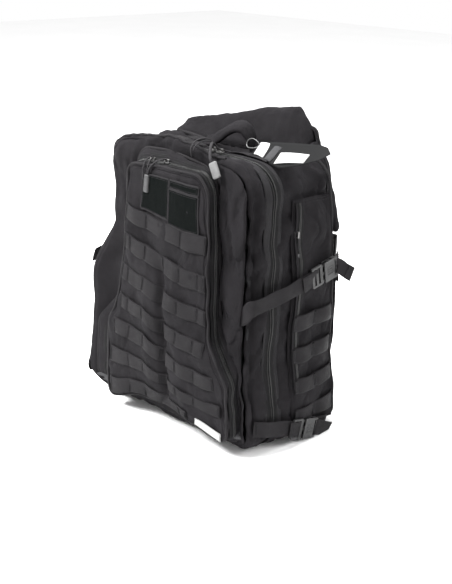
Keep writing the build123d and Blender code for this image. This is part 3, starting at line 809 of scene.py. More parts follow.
def dense(O, k=3):
    """The same outline with k times the points."""
    n = len(O)
    i = np.arange(n * k) / k
    i0 = np.floor(i).astype(int) % n
    f = (i - np.floor(i))[:, None]
    p0, p1, p2, p3 = O[(i0 - 1) % n], O[i0], O[(i0 + 1) % n], O[(i0 + 2) % n]
    return 0.5 * (2 * p1 + (p2 - p0) * f + (2 * p0 - 5 * p1 + 4 * p2 - p3) * f ** 2 + (3 * p1 - p0 - 3 * p2 + p3) * f ** 3)


def spaced(P, N, pitch, phase=0.0):
    L = np.concatenate([[0], np.cumsum(np.linalg.norm(np.diff(P, axis=0), axis=1))])
    s = np.arange(pitch * (0.5 + phase), L[-1], pitch)
    Q = np.stack([np.interp(s, L, P[:, k]) for k in range(3)], 1)
    D = np.stack([np.interp(s, L, N[:, k]) for k in range(3)], 1)
    D /= np.linalg.norm(D, axis=1)[:, None]
    T = np.stack([np.interp(s + .5, L, P[:, k]) - np.interp(s - .5, L, P[:, k]) for k in range(3)], 1)
    T /= np.linalg.norm(T, axis=1)[:, None] + 1e-9
    return Q, D, T


def teeth(B, C, X, Y, Z, dx, dy, dz, m=0):
    """Small blocks with a narrowed top."""
    V = []
    for z, k in ((-1, 1.0), (1, 0.62)):
        for x, y in ((-1, -1), (1, -1), (1, 1), (-1, 1)):
            V.append(C + X * (x * dx / 2 * k) + Y * (y * dy / 2 * k) + Z * (z * dz / 2))
    V = np.stack(V, 1).reshape(-1, 3)
    F = []
    for i in range(len(C)):
        o = i * 8
        F += [[o, o + 3, o + 2, o + 1], [o + 4, o + 5, o + 6, o + 7]] + [[o + j, o + (j + 1) % 4, o + 4 + (j + 1) % 4, o + 4 + j] for j in range(4)]
    B.add(V, F, None, m)


def zipper(name, O, y0, side, body, nodes, lo, out=0.0, phase=0.0, width=10.5, stitch=True):
    """One half of a coil zipper: ribbed tape, coil and the row of stitching that holds it."""
    B = Build()
    O3 = dense(O)
    P, N = ring(O3, y0 + side * (0.3 + width / 2), out + 0.7, lo)
    sweep(B, P, bandprof(width, 0.9, 4), N, 0)
    P, N = ring(O3, y0 + side * 1.45, out + 1.5, lo)
    sweep(B, P, circle(0.75, 6), N, 1)
    Q, D, T = spaced(P, N, 2.1, phase)
    teeth(B, Q + D * 0.3, T, np.broadcast_to(Y3, Q.shape), D, 1.15, 2.5, 1.5, 1)
    if stitch:
        P, N = ring(O3, y0 + side * (width - 1.6), out + 1.15, lo)
        stitches(B, P, N, m=2)
    o = B.to(name, [TAPE, COIL, THREAD], V=warp(B.verts()))
    return done(o, body, nodes)


def piping(name, O, y, out, r, body, mat=None, lo=None, flat=1.0, wave=0.0):
    B = Build()
    P, N = ring(dense(O, 2), y, out, lo)
    if wave:
        P = P + N * (wave * MID[0](P))[:, None] + Y3 * (wave * 1.3 * MID[2](P))[:, None]
    sweep(B, P, circle(r, 8, flat), N, 0, closed=lo is None)
    o = B.to(name, [mat or BINDING], V=warp(B.verts()))
    return done(o, body, ())


def rbox(B, c, X, Y, Z, dx, dy, dz, r, m=0, n=4):
    """Rounded block."""
    c, X, Y, Z = (np.asarray(v, float) for v in (c, X, Y, Z))
    d = np.array([dx, dy, dz]) / 2
    def line(h):
        k = max(h - r, 1e-6)
        t = np.linspace(0, 1, n + 1)
        return np.concatenate([-h + (h - k) * t, [0.0] if k > 1 else [], k + (h - k) * t]) / h
    G = [line(h) for h in d]
    for ax in range(3):
        u, v = (ax + 1) % 3, (ax + 2) % 3
        for sgn in (-1, 1):
            A, Bq = np.meshgrid(G[u], G[v], indexing="ij")
            P = np.zeros(A.shape + (3,))
            P[..., u], P[..., v], P[..., ax] = A * d[u], Bq * d[v], sgn * d[ax]
            core = np.clip(P, -(d - r), d - r)
            e = P - core
            P = core + e / (np.linalg.norm(e, axis=-1, keepdims=True) + 1e-9) * r
            V = c + P[..., 0:1] * X + P[..., 1:2] * Y + P[..., 2:3] * Z
            nu, nv = A.shape
            F, UV = sheet_faces(nu, nv, np.linspace(0, 2 * d[u], nu + 1), np.linspace(0, 2 * d[v], nv + 1), flip=sgn < 0)
            B.add(V.reshape(-1, 3), F, UV, m)
    return B


def ribbon(B, path, up, width, t=1.5, m=0, scale=None):
    return sweep(B, path, bandprof(width, t, 6), up, m, scale=scale)


def mirror(V):
    return V * np.array([-1.0, 1.0, 1.0])


def cad_mesh(*nodes):
    """Vertices in millimetres and faces of CAD nodes, welded."""
    Vs, Fs, off = [], [], 0
    for n in nodes:
        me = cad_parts[n].data
        V = np.array([v.co for v in me.vertices]) * 1000
        _, first, inv = np.unique(np.round(V, 3), axis=0, return_index=True, return_inverse=True)
        inv = inv.ravel()
        Vs.append(V[first])
        for p in me.polygons:
            g = [int(inv[i]) for i in p.vertices]
            if len(set(g)) == len(g):
                Fs.append([i + off for i in g])
        off += len(first)
    return np.vstack(Vs), Fs


def raw(name, V, F, mats, smooth=True):
    me = bpy.data.meshes.new(name)
    me.from_pydata((np.asarray(V) / 1000).tolist(), [], [list(f) for f in F])
    me.polygons.foreach_set("use_smooth", np.full(len(F), smooth))
    for m in mats:
        me.materials.append(m)
    me.update()
    o = bpy.data.objects.new(name, me)
    bpy.context.scene.collection.objects.link(o)
    return o


def rigid(name, node, body, mat, w=0.35, at=None, shift=None):
    """A hard piece: the CAD solid with softened edges, moved as one block with the cloth round it."""
    V, F = cad_mesh(node)
    c = (V.min(0) + V.max(0)) / 2 if at is None else np.array(at, float)
    V = V + (warp(c[None])[0] - c if shift is None else np.array(shift, float))
    o = raw(name, V, F, [mat])
    o.data.set_sharp_from_angle(angle=math.radians(32))
    bm = bmesh.new(); bm.from_mesh(o.data)
    bmesh.ops.dissolve_limit(bm, angle_limit=math.radians(1), verts=bm.verts, edges=bm.edges)
    bm.to_mesh(o.data); bm.free()
    bevel(o, w, 2, 32)
    return done(o, body, (node,))


def freeze(o):
    """Puts the modifiers into the mesh."""
    dg = bpy.context.evaluated_depsgraph_get()
    dg.update()
    me = bpy.data.meshes.new_from_object(o.evaluated_get(dg))
    mats = list(o.data.materials)
    o.modifiers.clear()
    o.data = me
    if not len(me.materials):
        for m in mats:
            me.materials.append(m)
    return o


def co(o):
    V = np.zeros(len(o.data.vertices) * 3, np.float32)
    o.data.vertices.foreach_get("co", V)
    return V.reshape(-1, 3).astype(float) * 1000


def set_co(o, V):
    o.data.vertices.foreach_set("co", (V / 1000).astype(np.float32).ravel())
    o.data.update()


def puffed(name, nodes, mat, voxel=4.5, pressure=4.0, frames=16, cap=6.0, smooth=8, pin=None, grow=1.0):
    """Remeshes a CAD solid and blows it up with the cloth solver, as filled fabric."""
    V, F = cad_mesh(*nodes)
    o = raw(name, V, F, [mat])
    md = o.modifiers.new("Remesh", "REMESH"); md.mode = "VOXEL"; md.voxel_size = voxel / 1000; md.use_smooth_shade = True
    sm = o.modifiers.new("Smooth", "SMOOTH"); sm.factor = 0.5; sm.iterations = smooth
    freeze(o)
    rest = co(o)
    md = o.modifiers.new("Cloth", "CLOTH")
    st = md.settings
    st.quality = 5; st.mass = 0.25; st.air_damping = 4.0
    st.tension_stiffness = 22; st.compression_stiffness = 8; st.shear_stiffness = 10; st.bending_stiffness = 0.4
    st.use_pressure = True; st.uniform_pressure_force = pressure
    st.effector_weights.gravity = 0.0
    md.collision_settings.use_collision = False
    md.point_cache.frame_start, md.point_cache.frame_end = 1, frames
    sc = bpy.context.scene
    for f in range(1, frames + 1):
        sc.frame_set(f)
    dg = bpy.context.evaluated_depsgraph_get()
    e = o.evaluated_get(dg)
    P = np.zeros(len(e.data.vertices) * 3, np.float32)
    e.data.vertices.foreach_get("co", P)
    P = P.reshape(-1, 3).astype(float) * 1000
    o.modifiers.clear()
    sc.frame_set(1)
    d = (P - rest) * grow
    L = np.linalg.norm(d, axis=1)[:, None] + 1e-9
    d *= np.minimum(1, cap / L)
    if np.isfinite(d).all():
        set_co(o, rest + d)
    return o


def faces_of(o):
    return [list(p.vertices) for p in o.data.polygons]


def quilt(o, channels=None, amp=0.8, fine=0.2, subdivide=1, warped=True):
    """Channels and wrinkles on a puffed piece, then the pack's slump."""
    V, F = co(o), faces_of(o)
    if channels is not None:
        V = V + vertex_normals(V, F) * channels(V)[:, None]
    V = crumple(V, F, amp, fine)
    set_co(o, warp(V) if warped else V)
    if subdivide:
        subdiv(o, subdivide)
    return o


# ================================================================== body: the main compartment
def main_shape(V):
    V = V.copy()
    x, y, z = V.T
    side = S(np.abs(x), 120, 150)
    # the sides fill out between the seams and pinch beside the zipper
    V[:, 0] += np.sign(x) * side * (4.5 * np.sin(np.clip((y + 44) / 134, 0, 1) * math.pi) ** 0.8 - 1.5) * S(z, 20, 90) * S(z, 430, 330)
    V[:, 0] -= np.sign(x) * side * 3.0 * np.exp(-((z - 391) / 5.0) ** 2) * S(y, -30, 0)
    back = S(y, 80, 90)
    V[:, 2] += S(z, 425, 440) * (3.5 * np.sin(np.clip((y + 44) / 134, 0, 1) * math.pi))
    return V


B = make_tray(O_MAIN, -47.7, 92, 8, 30)
soft("Pack.Main_Shell", B, [NYLON, LINING], "pack", ["main_shell"], amp=2.4, fine=0.7, pin=lambda V: S(V[:, 1], -47, -30), thick=2.4, lining=1, shape=main_shape)
piping("Pack.Back_Edge_Binding", O_MAIN, 91, 0.6, 2.3, "pack", wave=0.3)
zipper("Pack.Main_Zip_Rear", O_MAIN, -48, 1, "pack", ["main_zip_rear_tape"], 34, out=0.4)

B = Build()
P, N = ring(dense(O_MAIN), -33.5, 0.9, 30)
sweep(B, P + N * (0.5 * MID[0](P))[:, None], bandprof(8, 1.6, 4), N, 0)
stitches(B, *[a for a in ring(dense(O_MAIN), -31.5, 2.1, 30)], m=1)
stitches(B, *[a for a in ring(dense(O_MAIN), 84, 0.5, 30)], m=1)
done(B.to("Pack.Zip_Welt", [WELT_PAINTED_HIGHLIGHT, THREAD], V=warp(B.verts())), "pack", ())

# the coated base panel
base = outline([(-131, -37), (131, -37), (131, 85), (-131, 85)], [22, 22, 22, 22], 4 * 24)
B = Build()
cap_faces(B, base, 0.0, 24, (0, 24), bulge=lambda a, b, R: 0.9 * S(R, 0.86, 0.97) * 0)
V = B.verts()
B.V = [np.stack([V[:, 0], V[:, 2], 0.4 + 3.2 * S(np.maximum(np.abs(V[:, 0]) / 131, np.abs(V[:, 2] - 24) / 61), 0.90, 1.0)], 1)]
orient(B, toward((0, 0, -1)))
o = B.to("Pack.Base_Panel", [BASE])
thicken(o, 2.6)
done(o, "pack", ["base_panel"])
B = Build()
P = np.stack([base[:, 0] * 0.955, (base[:, 1] - 24) * 0.93 + 24, np.full(len(base), 0.15)], 1)
stitches(B, np.vstack([P, P[:1]]), (0, 0, -1), pitch=4, length=2.8, m=0)
done(B.to("Pack.Base_Stitching", [THREAD]), "pack", ())


def patch(y, z, xf, nu, nv, flip=False):
    """A grid over Y and Z, at x = xf(y, z)."""
    Yg, Zg = np.meshgrid(y, z, indexing="ij")
    Xg = xf(Yg, Zg)
    V = np.stack([Xg, Yg, Zg], -1).reshape(-1, 3)
    F, UV = sheet_faces(len(y), len(z), np.append(y, y[-1]), np.append(z, z[-1]))
    B = Build()
    B.add(V, F, UV, 0)
    return orient(B, toward((1, 0, 0)))


def sided(name, B, mats, body, nodes, thick=0.0, lining=None, amp=0.0, fine=0.0, pin=None, left=False):
    """Finishes a piece built on the right; left=True mirrors it first."""
    weld(B)
    V = B.verts()
    if left:
        V = mirror(V)
        UV, p = [], 0
        for k, f in enumerate(B.F):
            UV.extend(B.UV[p:p + len(f)][::-1]); p += len(f)
            B.F[k] = f[::-1]
        B.UV = UV
    if amp or fine:
        C = crumple(V, B.F, amp, fine)
        V = V + (C - V) * (1.0 if pin is None else pin(V)[:, None])
    o = B.to(name, mats, V=warp(V))
    if thick:
        thicken(o, thick, lining)
    return done(o, body, nodes)


def side_x(y, z):
    """The outer face of the side pocket, on the right."""
    u, v = np.clip((y + 8) / 96, 0, 1), np.clip((z - 14) / 370, 0, 1)
    lift = (np.clip(1 - (2 * u - 1) ** 6, 0, 1) * np.clip(1 - (2 * v - 1) ** 12, 0, 1))
    return 158.0 - 0.0092 * (z - 4) + 4.6 * np.sin(np.clip((y + 44) / 134, 0, 1) * math.pi) ** 0.8 * S(z, 20, 90) * S(z, 430, 330) + 3.6 * lift


yy = np.linspace(-9, 89, 48)
zz = np.linspace(14, 386, 150)
for left in (False, True):
    nm = "Left" if left else "Right"
    sd = nm.lower()
    B = patch(yy, zz, side_x, 0, 0)
    sided(f"Side_{nm}.Pocket", B, [NYLON, LINING], "pack", [f"side_pocket_{sd}"], 1.6, 1, 1.3, 0.3, pin=lambda V: S(V[:, 1], -8, 0) * S(V[:, 1], 89, 82), left=left)
    B = Build()
    for y0, n0 in ((-6.5, 1), (86.5, -1)):
        z = np.linspace(20, 380, 240)
        P = np.stack([side_x(np.full(240, y0), z) + 1.3, np.full(240, y0), z], 1)
        stitches(B, P, X3, m=0)
    y = np.linspace(-7, 87, 60)
    for z0 in (379, 383):
        P = np.stack([side_x(y, np.full(60, float(z0))) + 1.2, y, np.full(60, float(z0))], 1)
        stitches(B, P, X3, m=0)
    sided(f"Side_{nm}.Pocket_Stitching", B, [THREAD], "pack", (), left=left)
    # the pocket's zipper, standing upright in front of it
    B = Build()
    z = np.linspace(91, 381, 200)
    x0 = side_x(np.full(200, 4.0), z)
    P = np.stack([x0 + 0.5, np.full(200, 4.0), z], 1)
    for s in (-1, 1):
        sweep(B, P + Y3 * s * 4.1, bandprof(7.6, 0.9, 4), X3, 0)
        stitches(B, P + Y3 * s * 6.4 + X3 * 0.4, X3, m=2)
        sweep(B, P + Y3 * s * 1.2 + X3 * 0.8, circle(0.7, 6), X3, 1)
        Q, D, T = spaced(P + Y3 * s * 1.1, np.broadcast_to(X3, P.shape), 2.1, 0.5 * (s > 0))
        teeth(B, Q + X3 * 1.1, T, np.broadcast_to(Y3, Q.shape), D, 1.15, 1.9, 1.3, 1)
    # a storm lip along its front edge
    lip = P + Y3 * -7.2 + X3 * 0.9
    sweep(B, lip + X3 * (0.2 * MID[0](lip) - 0.4)[:, None], bandprof(4.5, 1.2, 4), X3 + 0.3 * Y3, 3)
    sided(f"Side_{nm}.Zip", B, [TAPE, COIL, THREAD, NYLON], "pack", [f"side_zip_{sd}"], left=left)
    # four rows of webbing
    B = Build()
    for zt in (210.0, 159.2, 108.4, 57.6):
        y = np.linspace(-2, 88.5, 76)
        v = np.linspace(0, 1, 9)
        Yg, Vg = np.meshgrid(y, v, indexing="ij")
        t = np.clip((Yg + 0.5) / 87.5, 0, 1) * 2
        bow = 4.4 * np.abs(np.sin(math.pi * t)) ** 0.75
        Zg = zt - 25.4 * (1 - Vg) + 0.7 * np.sin(Yg * 0.09 + zt)
        Xg = side_x(Yg, Zg) + 1.9 + bow * (0.85 + 0.15 * np.sin(Vg * math.pi))
        F, UV = sheet_faces(76, 9, np.append(y, y[-1]), np.append(v, 1) * 25.4)
        W = Build(); W.add(np.stack([Xg, Yg, Zg], -1).reshape(-1, 3), F, UV, 0)
        orient(W, toward((1, 0, 0)))
        B = join(B, W)
        for yb in (-0.3, 43.2, 86.4):
            for o2 in (-1.6, 1.6):
                bartack(B, (side_x(yb, zt - 12.7) + 2.1, yb + o2, zt - 12.7), Z3, Y3, X3, 22, 1.3, 1)
    sided(f"Side_{nm}.Webbing_Rows", B, [WEBBING, THREAD], "pack", [f"side_webbing_{sd}"], 1.4, left=left)

# ================================================================== back panel, sleeve and harness
B = make_tray(O_SLEEVE, 91.5, 115.6, 7, 8, keep=lambda p: not (p[2] > 452 and abs(p[0]) < 122), centre=(0, 240))
soft("Pack.Hydration_Sleeve", B, [NYLON, LINING], "pack", ["hydration_sleeve"], amp=0.8, fine=0.25, thick=2.0, lining=1)
piping("Pack.Sleeve_Piping", O_SLEEVE, 114.5, -0.8, 2.0, "pack", lo=None)



def channel(y_keep, lines, axis=0, depth=2.2, width=3.2):
    """Grooves on the outer side of a pad, at the given X or Z lines."""
    def f(V):
        g = np.zeros(len(V))
        for c in lines:
            g += np.exp(-((V[:, axis] - c) / width) ** 2)
        return -depth * np.clip(g, 0, 1) * S(V[:, 1], y_keep, y_keep + 5)
    return f


def both(*fs_):
    return lambda V: sum(f(V) for f in fs_)


o = puffed("Pack.Back_Pads", ["back_pads"], MESH, voxel=4.5, pressure=4.0, cap=4.0, smooth=6)
V = co(o); V[:, 1] = np.maximum(V[:, 1], 115.7); set_co(o, V)
quilt(o, both(channel(123, (-62, 62), 0), channel(123, (170, 222, 274, 73), 2)), amp=0.45, fine=0.12)
done(o, "pack", ["back_pads"])
o = puffed("Pack.Shoulder_Yoke", ["shoulder_yoke"], PADDED, voxel=4.5, pressure=4.0, cap=4.0, smooth=6)
V = co(o); V[:, 1] = np.maximum(V[:, 1], 115.7); set_co(o, V)
quilt(o, channel(123, (362, 448), 2, 1.6), amp=0.5, fine=0.15)
done(o, "pack", ["shoulder_yoke"])
for left in (False, True):
    nm = "Left" if left else "Right"
    sd, sg = nm.lower(), -1 if left else 1
    o = puffed(f"Harness_{nm}.Shoulder_Pad", [f"shoulder_strap_{sd}"], PADDED, voxel=4.5, pressure=4.0, cap=3.5, smooth=6)
    quilt(o, None, amp=0.6, fine=0.15)
    done(o, f"shoulder_{sd}", [f"shoulder_strap_{sd}"])
    rigid(f"Harness_{nm}.Ladder_Lock", f"strap_ladder_lock_{sd}", f"shoulder_{sd}", POLY, 0.5)
    # adjusting webbing down to the lower anchor
    B = Build()
    pts = np.array([(102, 154.6, 286), (102, 154.9, 262), (102, 155.3, 220), (102, 155.0, 170), (102, 153.6, 135), (102, 147, 98), (102, 138.5, 62), (102, 135.8, 51)])
    P = spline(pts, 3.0); P[:, 0] *= sg
    ribbon(B, P, Y3, 24.6, 1.5)
    P2 = spline(np.array([(102, 157.0, 288), (102, 158.0, 262), (103, 159.0, 236), (104, 160.5, 214)]), 3.0); P2[:, 0] *= sg
    ribbon(B, P2, Y3, 24.0, 1.4)
    stitches(B, P2[-8:] + Y3 * 0.8, Y3, m=1)
    done(B.to(f"Harness_{nm}.Adjuster_Webbing", [WEBBING, THREAD], V=warp(B.verts())), f"shoulder_{sd}", [f"strap_webbing_{sd}"])
    # a loop for the sternum strap along the pad
    B = Build()
    P = spline(np.array([(70, 161.2, 440), (74, 161.4, 400), (77, 161.6, 350), (82, 160.6, 306)]), 3.0); P[:, 0] *= sg
    ribbon(B, P, Y3, 22, 1.3)
    for q in (3, len(P) // 2, len(P) - 4):
        bartack(B, P[q] + Y3 * 0.7, X3, Z3, Y3, 18, 2.2, 1)
    done(B.to(f"Harness_{nm}.Daisy_Webbing", [WEBBING, THREAD], V=warp(B.verts())), f"shoulder_{sd}", ())
    V, F = cad_mesh(f"sternum_strap_{sd}")
    o = raw(f"Harness_{nm}.Sternum_Strap", V + (warp(np.array([[sg * 45.0, 161, 352]]))[0] - np.array([sg * 45.0, 161, 352])) + Y3 * 4.4, F, [PADDED])
    o.data.set_sharp_from_angle(angle=math.radians(32))
    bevel(o, 0.5, 2, 32)
    done(o, f"sternum_{sd}", [f"sternum_strap_{sd}"])

# lower anchors: folded webbing sewn to the panel's foot
B = Build()
for sg in (-1, 1):
    P = spline(np.array([(102, 117.0, 28), (102, 125, 28.5), (102, 132, 32), (102, 134.8, 42), (102, 135.6, 51)]), 2.0)
    P[:, 0] *= sg
    ribbon(B, P, Y3, 25.4, 1.6)
    bartack(B, (sg * 102, 118.5, 29.6), X3, Y3, Z3, 22, 2.4, 1)
done(B.to("Pack.Lower_Anchor_Webbing", [WEBBING, THREAD], V=warp(B.verts())), "pack", ["strap_lower_anchors"])

# ================================================================== grab handle and flap
HANDLE_JOINT = ("pack", "grab_handle", (0, 0.012, 0.446), (0, 0.004, 0.508))
B = Build()
P = spline(np.array([(-50, 13, 444.5), (-46, 13, 449), (-33, 12.5, 453), (-17, 10.5, 460), (0, 7.5, 470), (17, 4.5, 480), (33, 3, 485), (46, 3.5, 482), (54, 7, 472), (55.5, 10, 460), (52.5, 13, 445)]), 2.4)
n = len(P)
t = np.linspace(0, 1, n)
t3, s3, u3 = frames(P, np.array([-0.25, 0.74, 0.62]))
roll = S(t, 0.10, 0.30) * S(t, 0.94, 0.80)
k = 20
prof = []
for j in range(k):
    a = 2 * math.pi * j / k
    prof.append((math.cos(a), math.sin(a)))
prof = np.array(prof)
V = []
for i in range(n):
    wy = 10.5 + 2.0 * roll[i]                     # half width
    th = 1.5 + 4.4 * roll[i]                      # half thickness
    sq = 1 - 0.45 * (1 - roll[i])
    pr = np.sign(prof) * np.abs(prof) ** sq
    V.append(P[i] + u3[i] * (pr[:, :1] * wy) + s3[i] * (pr[:, 1:] * th))
V = np.vstack(V)
F, UV = [], []
for i in range(n - 1):
    for j in range(k):
        F.append([i * k + j, i * k + (j + 1) % k, (i + 1) * k + (j + 1) % k, (i + 1) * k + j]); UV.append([(i * 2.4, j * 2.4), (i * 2.4, j * 2.4 + 2.4), (i * 2.4 + 2.4, j * 2.4 + 2.4), (i * 2.4 + 2.4, j * 2.4)])
F.append(list(range(k))[::-1]); UV.append([(0, 0)] * k)
F.append([(n - 1) * k + j for j in range(k)]); UV.append([(0, 0)] * k)
B.add(V, F, UV, 0)
orient(B, around((0, 14, 440)))
V = crumple(B.verts(), B.F, 0.35, 0.18)
o = B.to("Handle.Padded_Grip", [NYLON], V=warp(V))
subdiv(o, 1)
done(o, HANDLE_JOINT, ["grab_handle"])
B = Build()
sel = P[int(n * .2):int(n * .82)]
for s in (-1, 1):
    q_ = s3[int(n * .2):int(n * .82)] * (-1.0 if s3[n // 2][2] < 0 else 1.0)
    stitches(B, sel + q_ * 6.0 + u3[int(n * .2):int(n * .82)] * s * 3.6, q_, m=0)
done(B.to("Handle.Stitching", [THREAD], V=warp(B.verts())), HANDLE_JOINT, ())
# anchors: webbing patches with bar-tacks, and a strip across the top
B = Build()
for sg in (-1, 1):
    pts = np.array([(57, 13, 456), (57.5, 13, 450), (60, 13, 446.2), (70, 13, 446.0), (84, 13, 445.8)] if sg > 0 else [(-54, 13, 447.6), (-58, 13, 447), (-64, 13, 446.4), (-70, 13, 446.0), (-84, 13, 445.8)])
    Q = spline(pts, 2.0)
    up = np.array([[sg * 1.0, 0, 0.0] if q[2] > 448 else [0, 0, 1.0] for q in Q])
    ribbon(B, Q, up, 22, 1.6)
    for dx in (64, 80):
        bartack(B, (sg * dx, 13, 446.9), Y3, X3, Z3, 18, 2.4, 1)
Q = np.stack([np.linspace(-88, 118, 120), np.full(120, -19.0), np.full(120, 446.3)], 1)
bow = 1.2 * np.abs(np.sin(math.pi * (Q[:, 0] + 88) / 34.33)) ** 0.8
Q[:, 2] += bow
ribbon(B, Q, Z3, 25.4, 1.4)
for i in range(7):
    bartack(B, (-88 + 34.33 * i, -19, 447.2), Y3, X3, Z3, 20, 2.4, 1)
done(B.to("Pack.Handle_Anchors", [WEBBING, THREAD], V=warp(B.verts())), "pack", ["handle_anchor_tabs"])

# the flap over the sleeve's mouth: a padded panel, twisted, with a bound edge
FLAP_JOINT = ("pack", "hydration_flap", (0, 0.096, 0.464), (0, 0.060, 0.488))
RX = [-116, -84, -30, 20, 60, 84, 100, 112]
RZ = [462, 469, 481, 490, 499, 503, 478, 450]          # the ridge's height
RY = [46, 60, 76, 88, 98, 102, 104, 104]               # and its depth
FY = [15, 19, 26, 34, 40, 44, 48, 52]                  # the sewn front edge
nu, nv = ((84, 54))
xs = np.linspace(-116, 112, nu)
V = []
for x in xs:
    rz, ry, fy = (float(np.interp(x, RX, q)) for q in (RZ, RY, FY))
    zf = 448.5 - 4.0 * math.exp(-((x - 6) / 60) ** 2)
    mid = lambda t, b_: (x, fy + (ry - fy) * t, zf + (rz - zf) * t + b_ * (rz - zf) / 50)
    pts = spline(np.array([(x, fy, zf), mid(0.3, 1.0), mid(0.62, 2.2), mid(0.88, 3.0), (x, ry + 3, rz + 0.5), (x, ry + 9, rz - 4), (x, max(ry + 14, ry + 12), rz - 12), (x, 118 if ry > 90 else ry + 24, min(rz - 20, 478))]), 1.0)
    i = np.linspace(0, len(pts) - 1, nv)
    V.append(np.stack([np.interp(i, np.arange(len(pts)), pts[:, c]) for c in range(3)], 1))
V = np.array(V)
uu, vv = np.meshgrid(np.linspace(0, 1, nu), np.linspace(0, 1, nv), indexing="ij")
puff = 2.8 * (np.clip(1 - (2 * uu - 1) ** 10, 0, 1) * np.clip(1 - (2 * vv - 1) ** 8, 0, 1)) ** 0.6
V[..., 2] += puff * 0.8
V[..., 1] -= puff * 0.4
F, UV = sheet_faces(nu, nv, np.linspace(0, 224, nu + 1), np.linspace(0, 100, nv + 1))
B = Build(); B.add(V.reshape(-1, 3), F, UV, 0)
orient(B, toward((0, -0.5, 1)))
Vc = crumple(B.verts(), B.F, 0.7, 0.25)
o = B.to("Flap.Padded_Panel", [NYLON, LINING], V=warp(Vc))
thicken(o, 5.0, 1)
done(o, FLAP_JOINT, ["hydration_flap"])
B = Build()
E = np.vstack([V[:, 0][::-1], V[0, 1:], V[1:, -1], V[-1, ::-1][1:-1]]) + np.array([0, 0, -2.0])
E = spline(E[::3], 2.5, closed=True)
upv = np.broadcast_to(np.array([0.05, -0.4, 1.0]), E.shape)
sweep(B, E, circle(2.9, 8), upv, 0, closed=True)
inset = V[3:-3, 3:-3]
E2 = np.vstack([inset[::-1, 0], inset[0, 1:], inset[1:, -1], inset[-1, ::-1][1:]]) + np.array([0, 0, 0.35])
stitches(B, E2, (0, -0.5, 1), m=1)
done(B.to("Flap.Binding", [BINDING, THREAD], V=warp(B.verts())), FLAP_JOINT, ())

# ================================================================== the lid
def lid_shape(V):
    V = V.copy()
    x, y, z = V.T
    side = S(np.abs(x), 125, 150)
    # a deep fold just behind the front edge, and a second one half way to the zipper
    g = np.exp(-((y + 83) / 3.2) ** 2) * (0.8 + 0.2 * np.sin(z / 37.0))
    calm = 1 - 0.85 * S(-x, 60, 120) * S(z, 0, 40) * S(z, 345, 270)
    V[:, 0] -= np.sign(x) * side * 9.0 * g * calm * S(z, 30, 70) * (0.55 + 0.45 * S(z, 420, 340))
    V[:, 0] += np.sign(x) * side * 4.0 * np.sin(np.clip((y + 80) / 24, 0, 1) * math.pi) * S(z, 30, 90)
    V[:, 0] -= np.sign(x) * side * 4.0 * np.exp(-((y + 62) / 7.0) ** 2) * S(z, 310, 400)
    V[:, 2] += S(z, 425, 438) * (2.6 * np.sin(np.clip((y + 90) / 40, 0, 1) * math.pi) - 3.2 * np.exp(-((y + 80) / 4.0) ** 2))
    return V


def hug(name, W, off, smooth=3):
    """Lay a line of points on a finished piece's outer skin, off mm proud of it."""
    me = bpy.data.objects[name].data
    tree = BVHTree.FromPolygons([tuple(v.co) for v in me.vertices], [tuple(f.vertices) for f in me.polygons])
    out = []
    for p in np.asarray(W, float):
        q, n, _, dist = tree.find_nearest(Vector(tuple(p * 0.001)))
        d = p * 0.001 - np.array(q)
        n = np.array(n)
        n = n if dist < 1e-5 or n @ d >= 0 else -n
        out.append(np.array(q) * 1000 + n * off)
    out = np.array(out)
    for _ in range(smooth):
        out[1:-1] = (out[:-2] + 2 * out[1:-1] + out[2:]) / 4
    return out


def lid_bulge(x, z, R):
    """The panel's face swells between the pocket and its edge."""
    w = np.interp(z, [18, 140, 215, 420], [134, 137, 98, 84])
    d = np.minimum(np.abs(x) - w, 153 - np.abs(x))
    e = np.clip(d / 9.0, 0, 1)
    e = e * (1 - 0.8 * S(-x, 90, 120) * S(z, 330, 260))
    fold = 5.0 * np.exp(-((x - (118 - 0.22 * (z - 330))) / 3.5) ** 2) * S(z, 250, 330) * S(z, 425, 395)
    return fold - (7.5 * S(e, 0, 1) * S(z, 12, 40)) * S(z, 440, 405)


B = make_tray(O_LID, -48.3, -92, 9, 18, bulge=lid_bulge)
soft("Lid.Shell", B, [NYLON, LINING], "lid", ["main_lid_shell"], amp=2.4, fine=0.7, pin=lambda V: S(V[:, 1], -48.2, -58) * 0.85 * (1 - 0.9 * S(-V[:, 0], 100, 128) * S(V[:, 2], 350, 280)), thick=2.2, lining=1, shape=lid_shape)
zipper("Lid.Main_Zip_Front", O_LID, -48, -1, "lid", ["main_zip_front_tape"], 34, out=1.2, phase=0.5)
# storm welt along the lid's zipper, in the welt fabric whose lighter colour is painted highlight
B = Build()
P, N = ring(dense(O_LID), -61.0, 1.2, 30)
lipw = 0.45 + 1.0 * S(P[:, 2], 230, 380) * S(P[:, 0], 40, 100)
P = P + N * (0.9 * lipw + 0.5 * MID[0](P))[:, None] + Y3 * (0.6 * MID[2](P))[:, None]
sweep(B, P, bandprof(9.5, 2.0, 5), N - 0.25 * Y3, 0, scale=lipw)
stitches(B, *[a for a in ring(dense(O_LID), -66.5, 1.6, 30)], m=1)
done(B.to("Lid.Storm_Welt", [WELT_PAINTED_HIGHLIGHT, THREAD], V=warp(B.verts())), "lid", ())
B = Build()
P, N = ring(dense(O_LID, 2), -87.6, 0.2)
k0 = np.where((P[:, 2] > 425) | ((P[:, 0] < -100) & (P[:, 2] > 60)))[0]
k0 = k0[P[k0][:, 0] < 96]
P, N = P[k0[0]:k0[-1] + 1], N[k0[0]:k0[-1] + 1]
sweep(B, hug("Lid.Shell", warp(P + N * 2.5), 0.9), circle(2.0, 8), N, 0)
done(B.to("Lid.Front_Edge_Piping", [BINDING]), "lid", ())


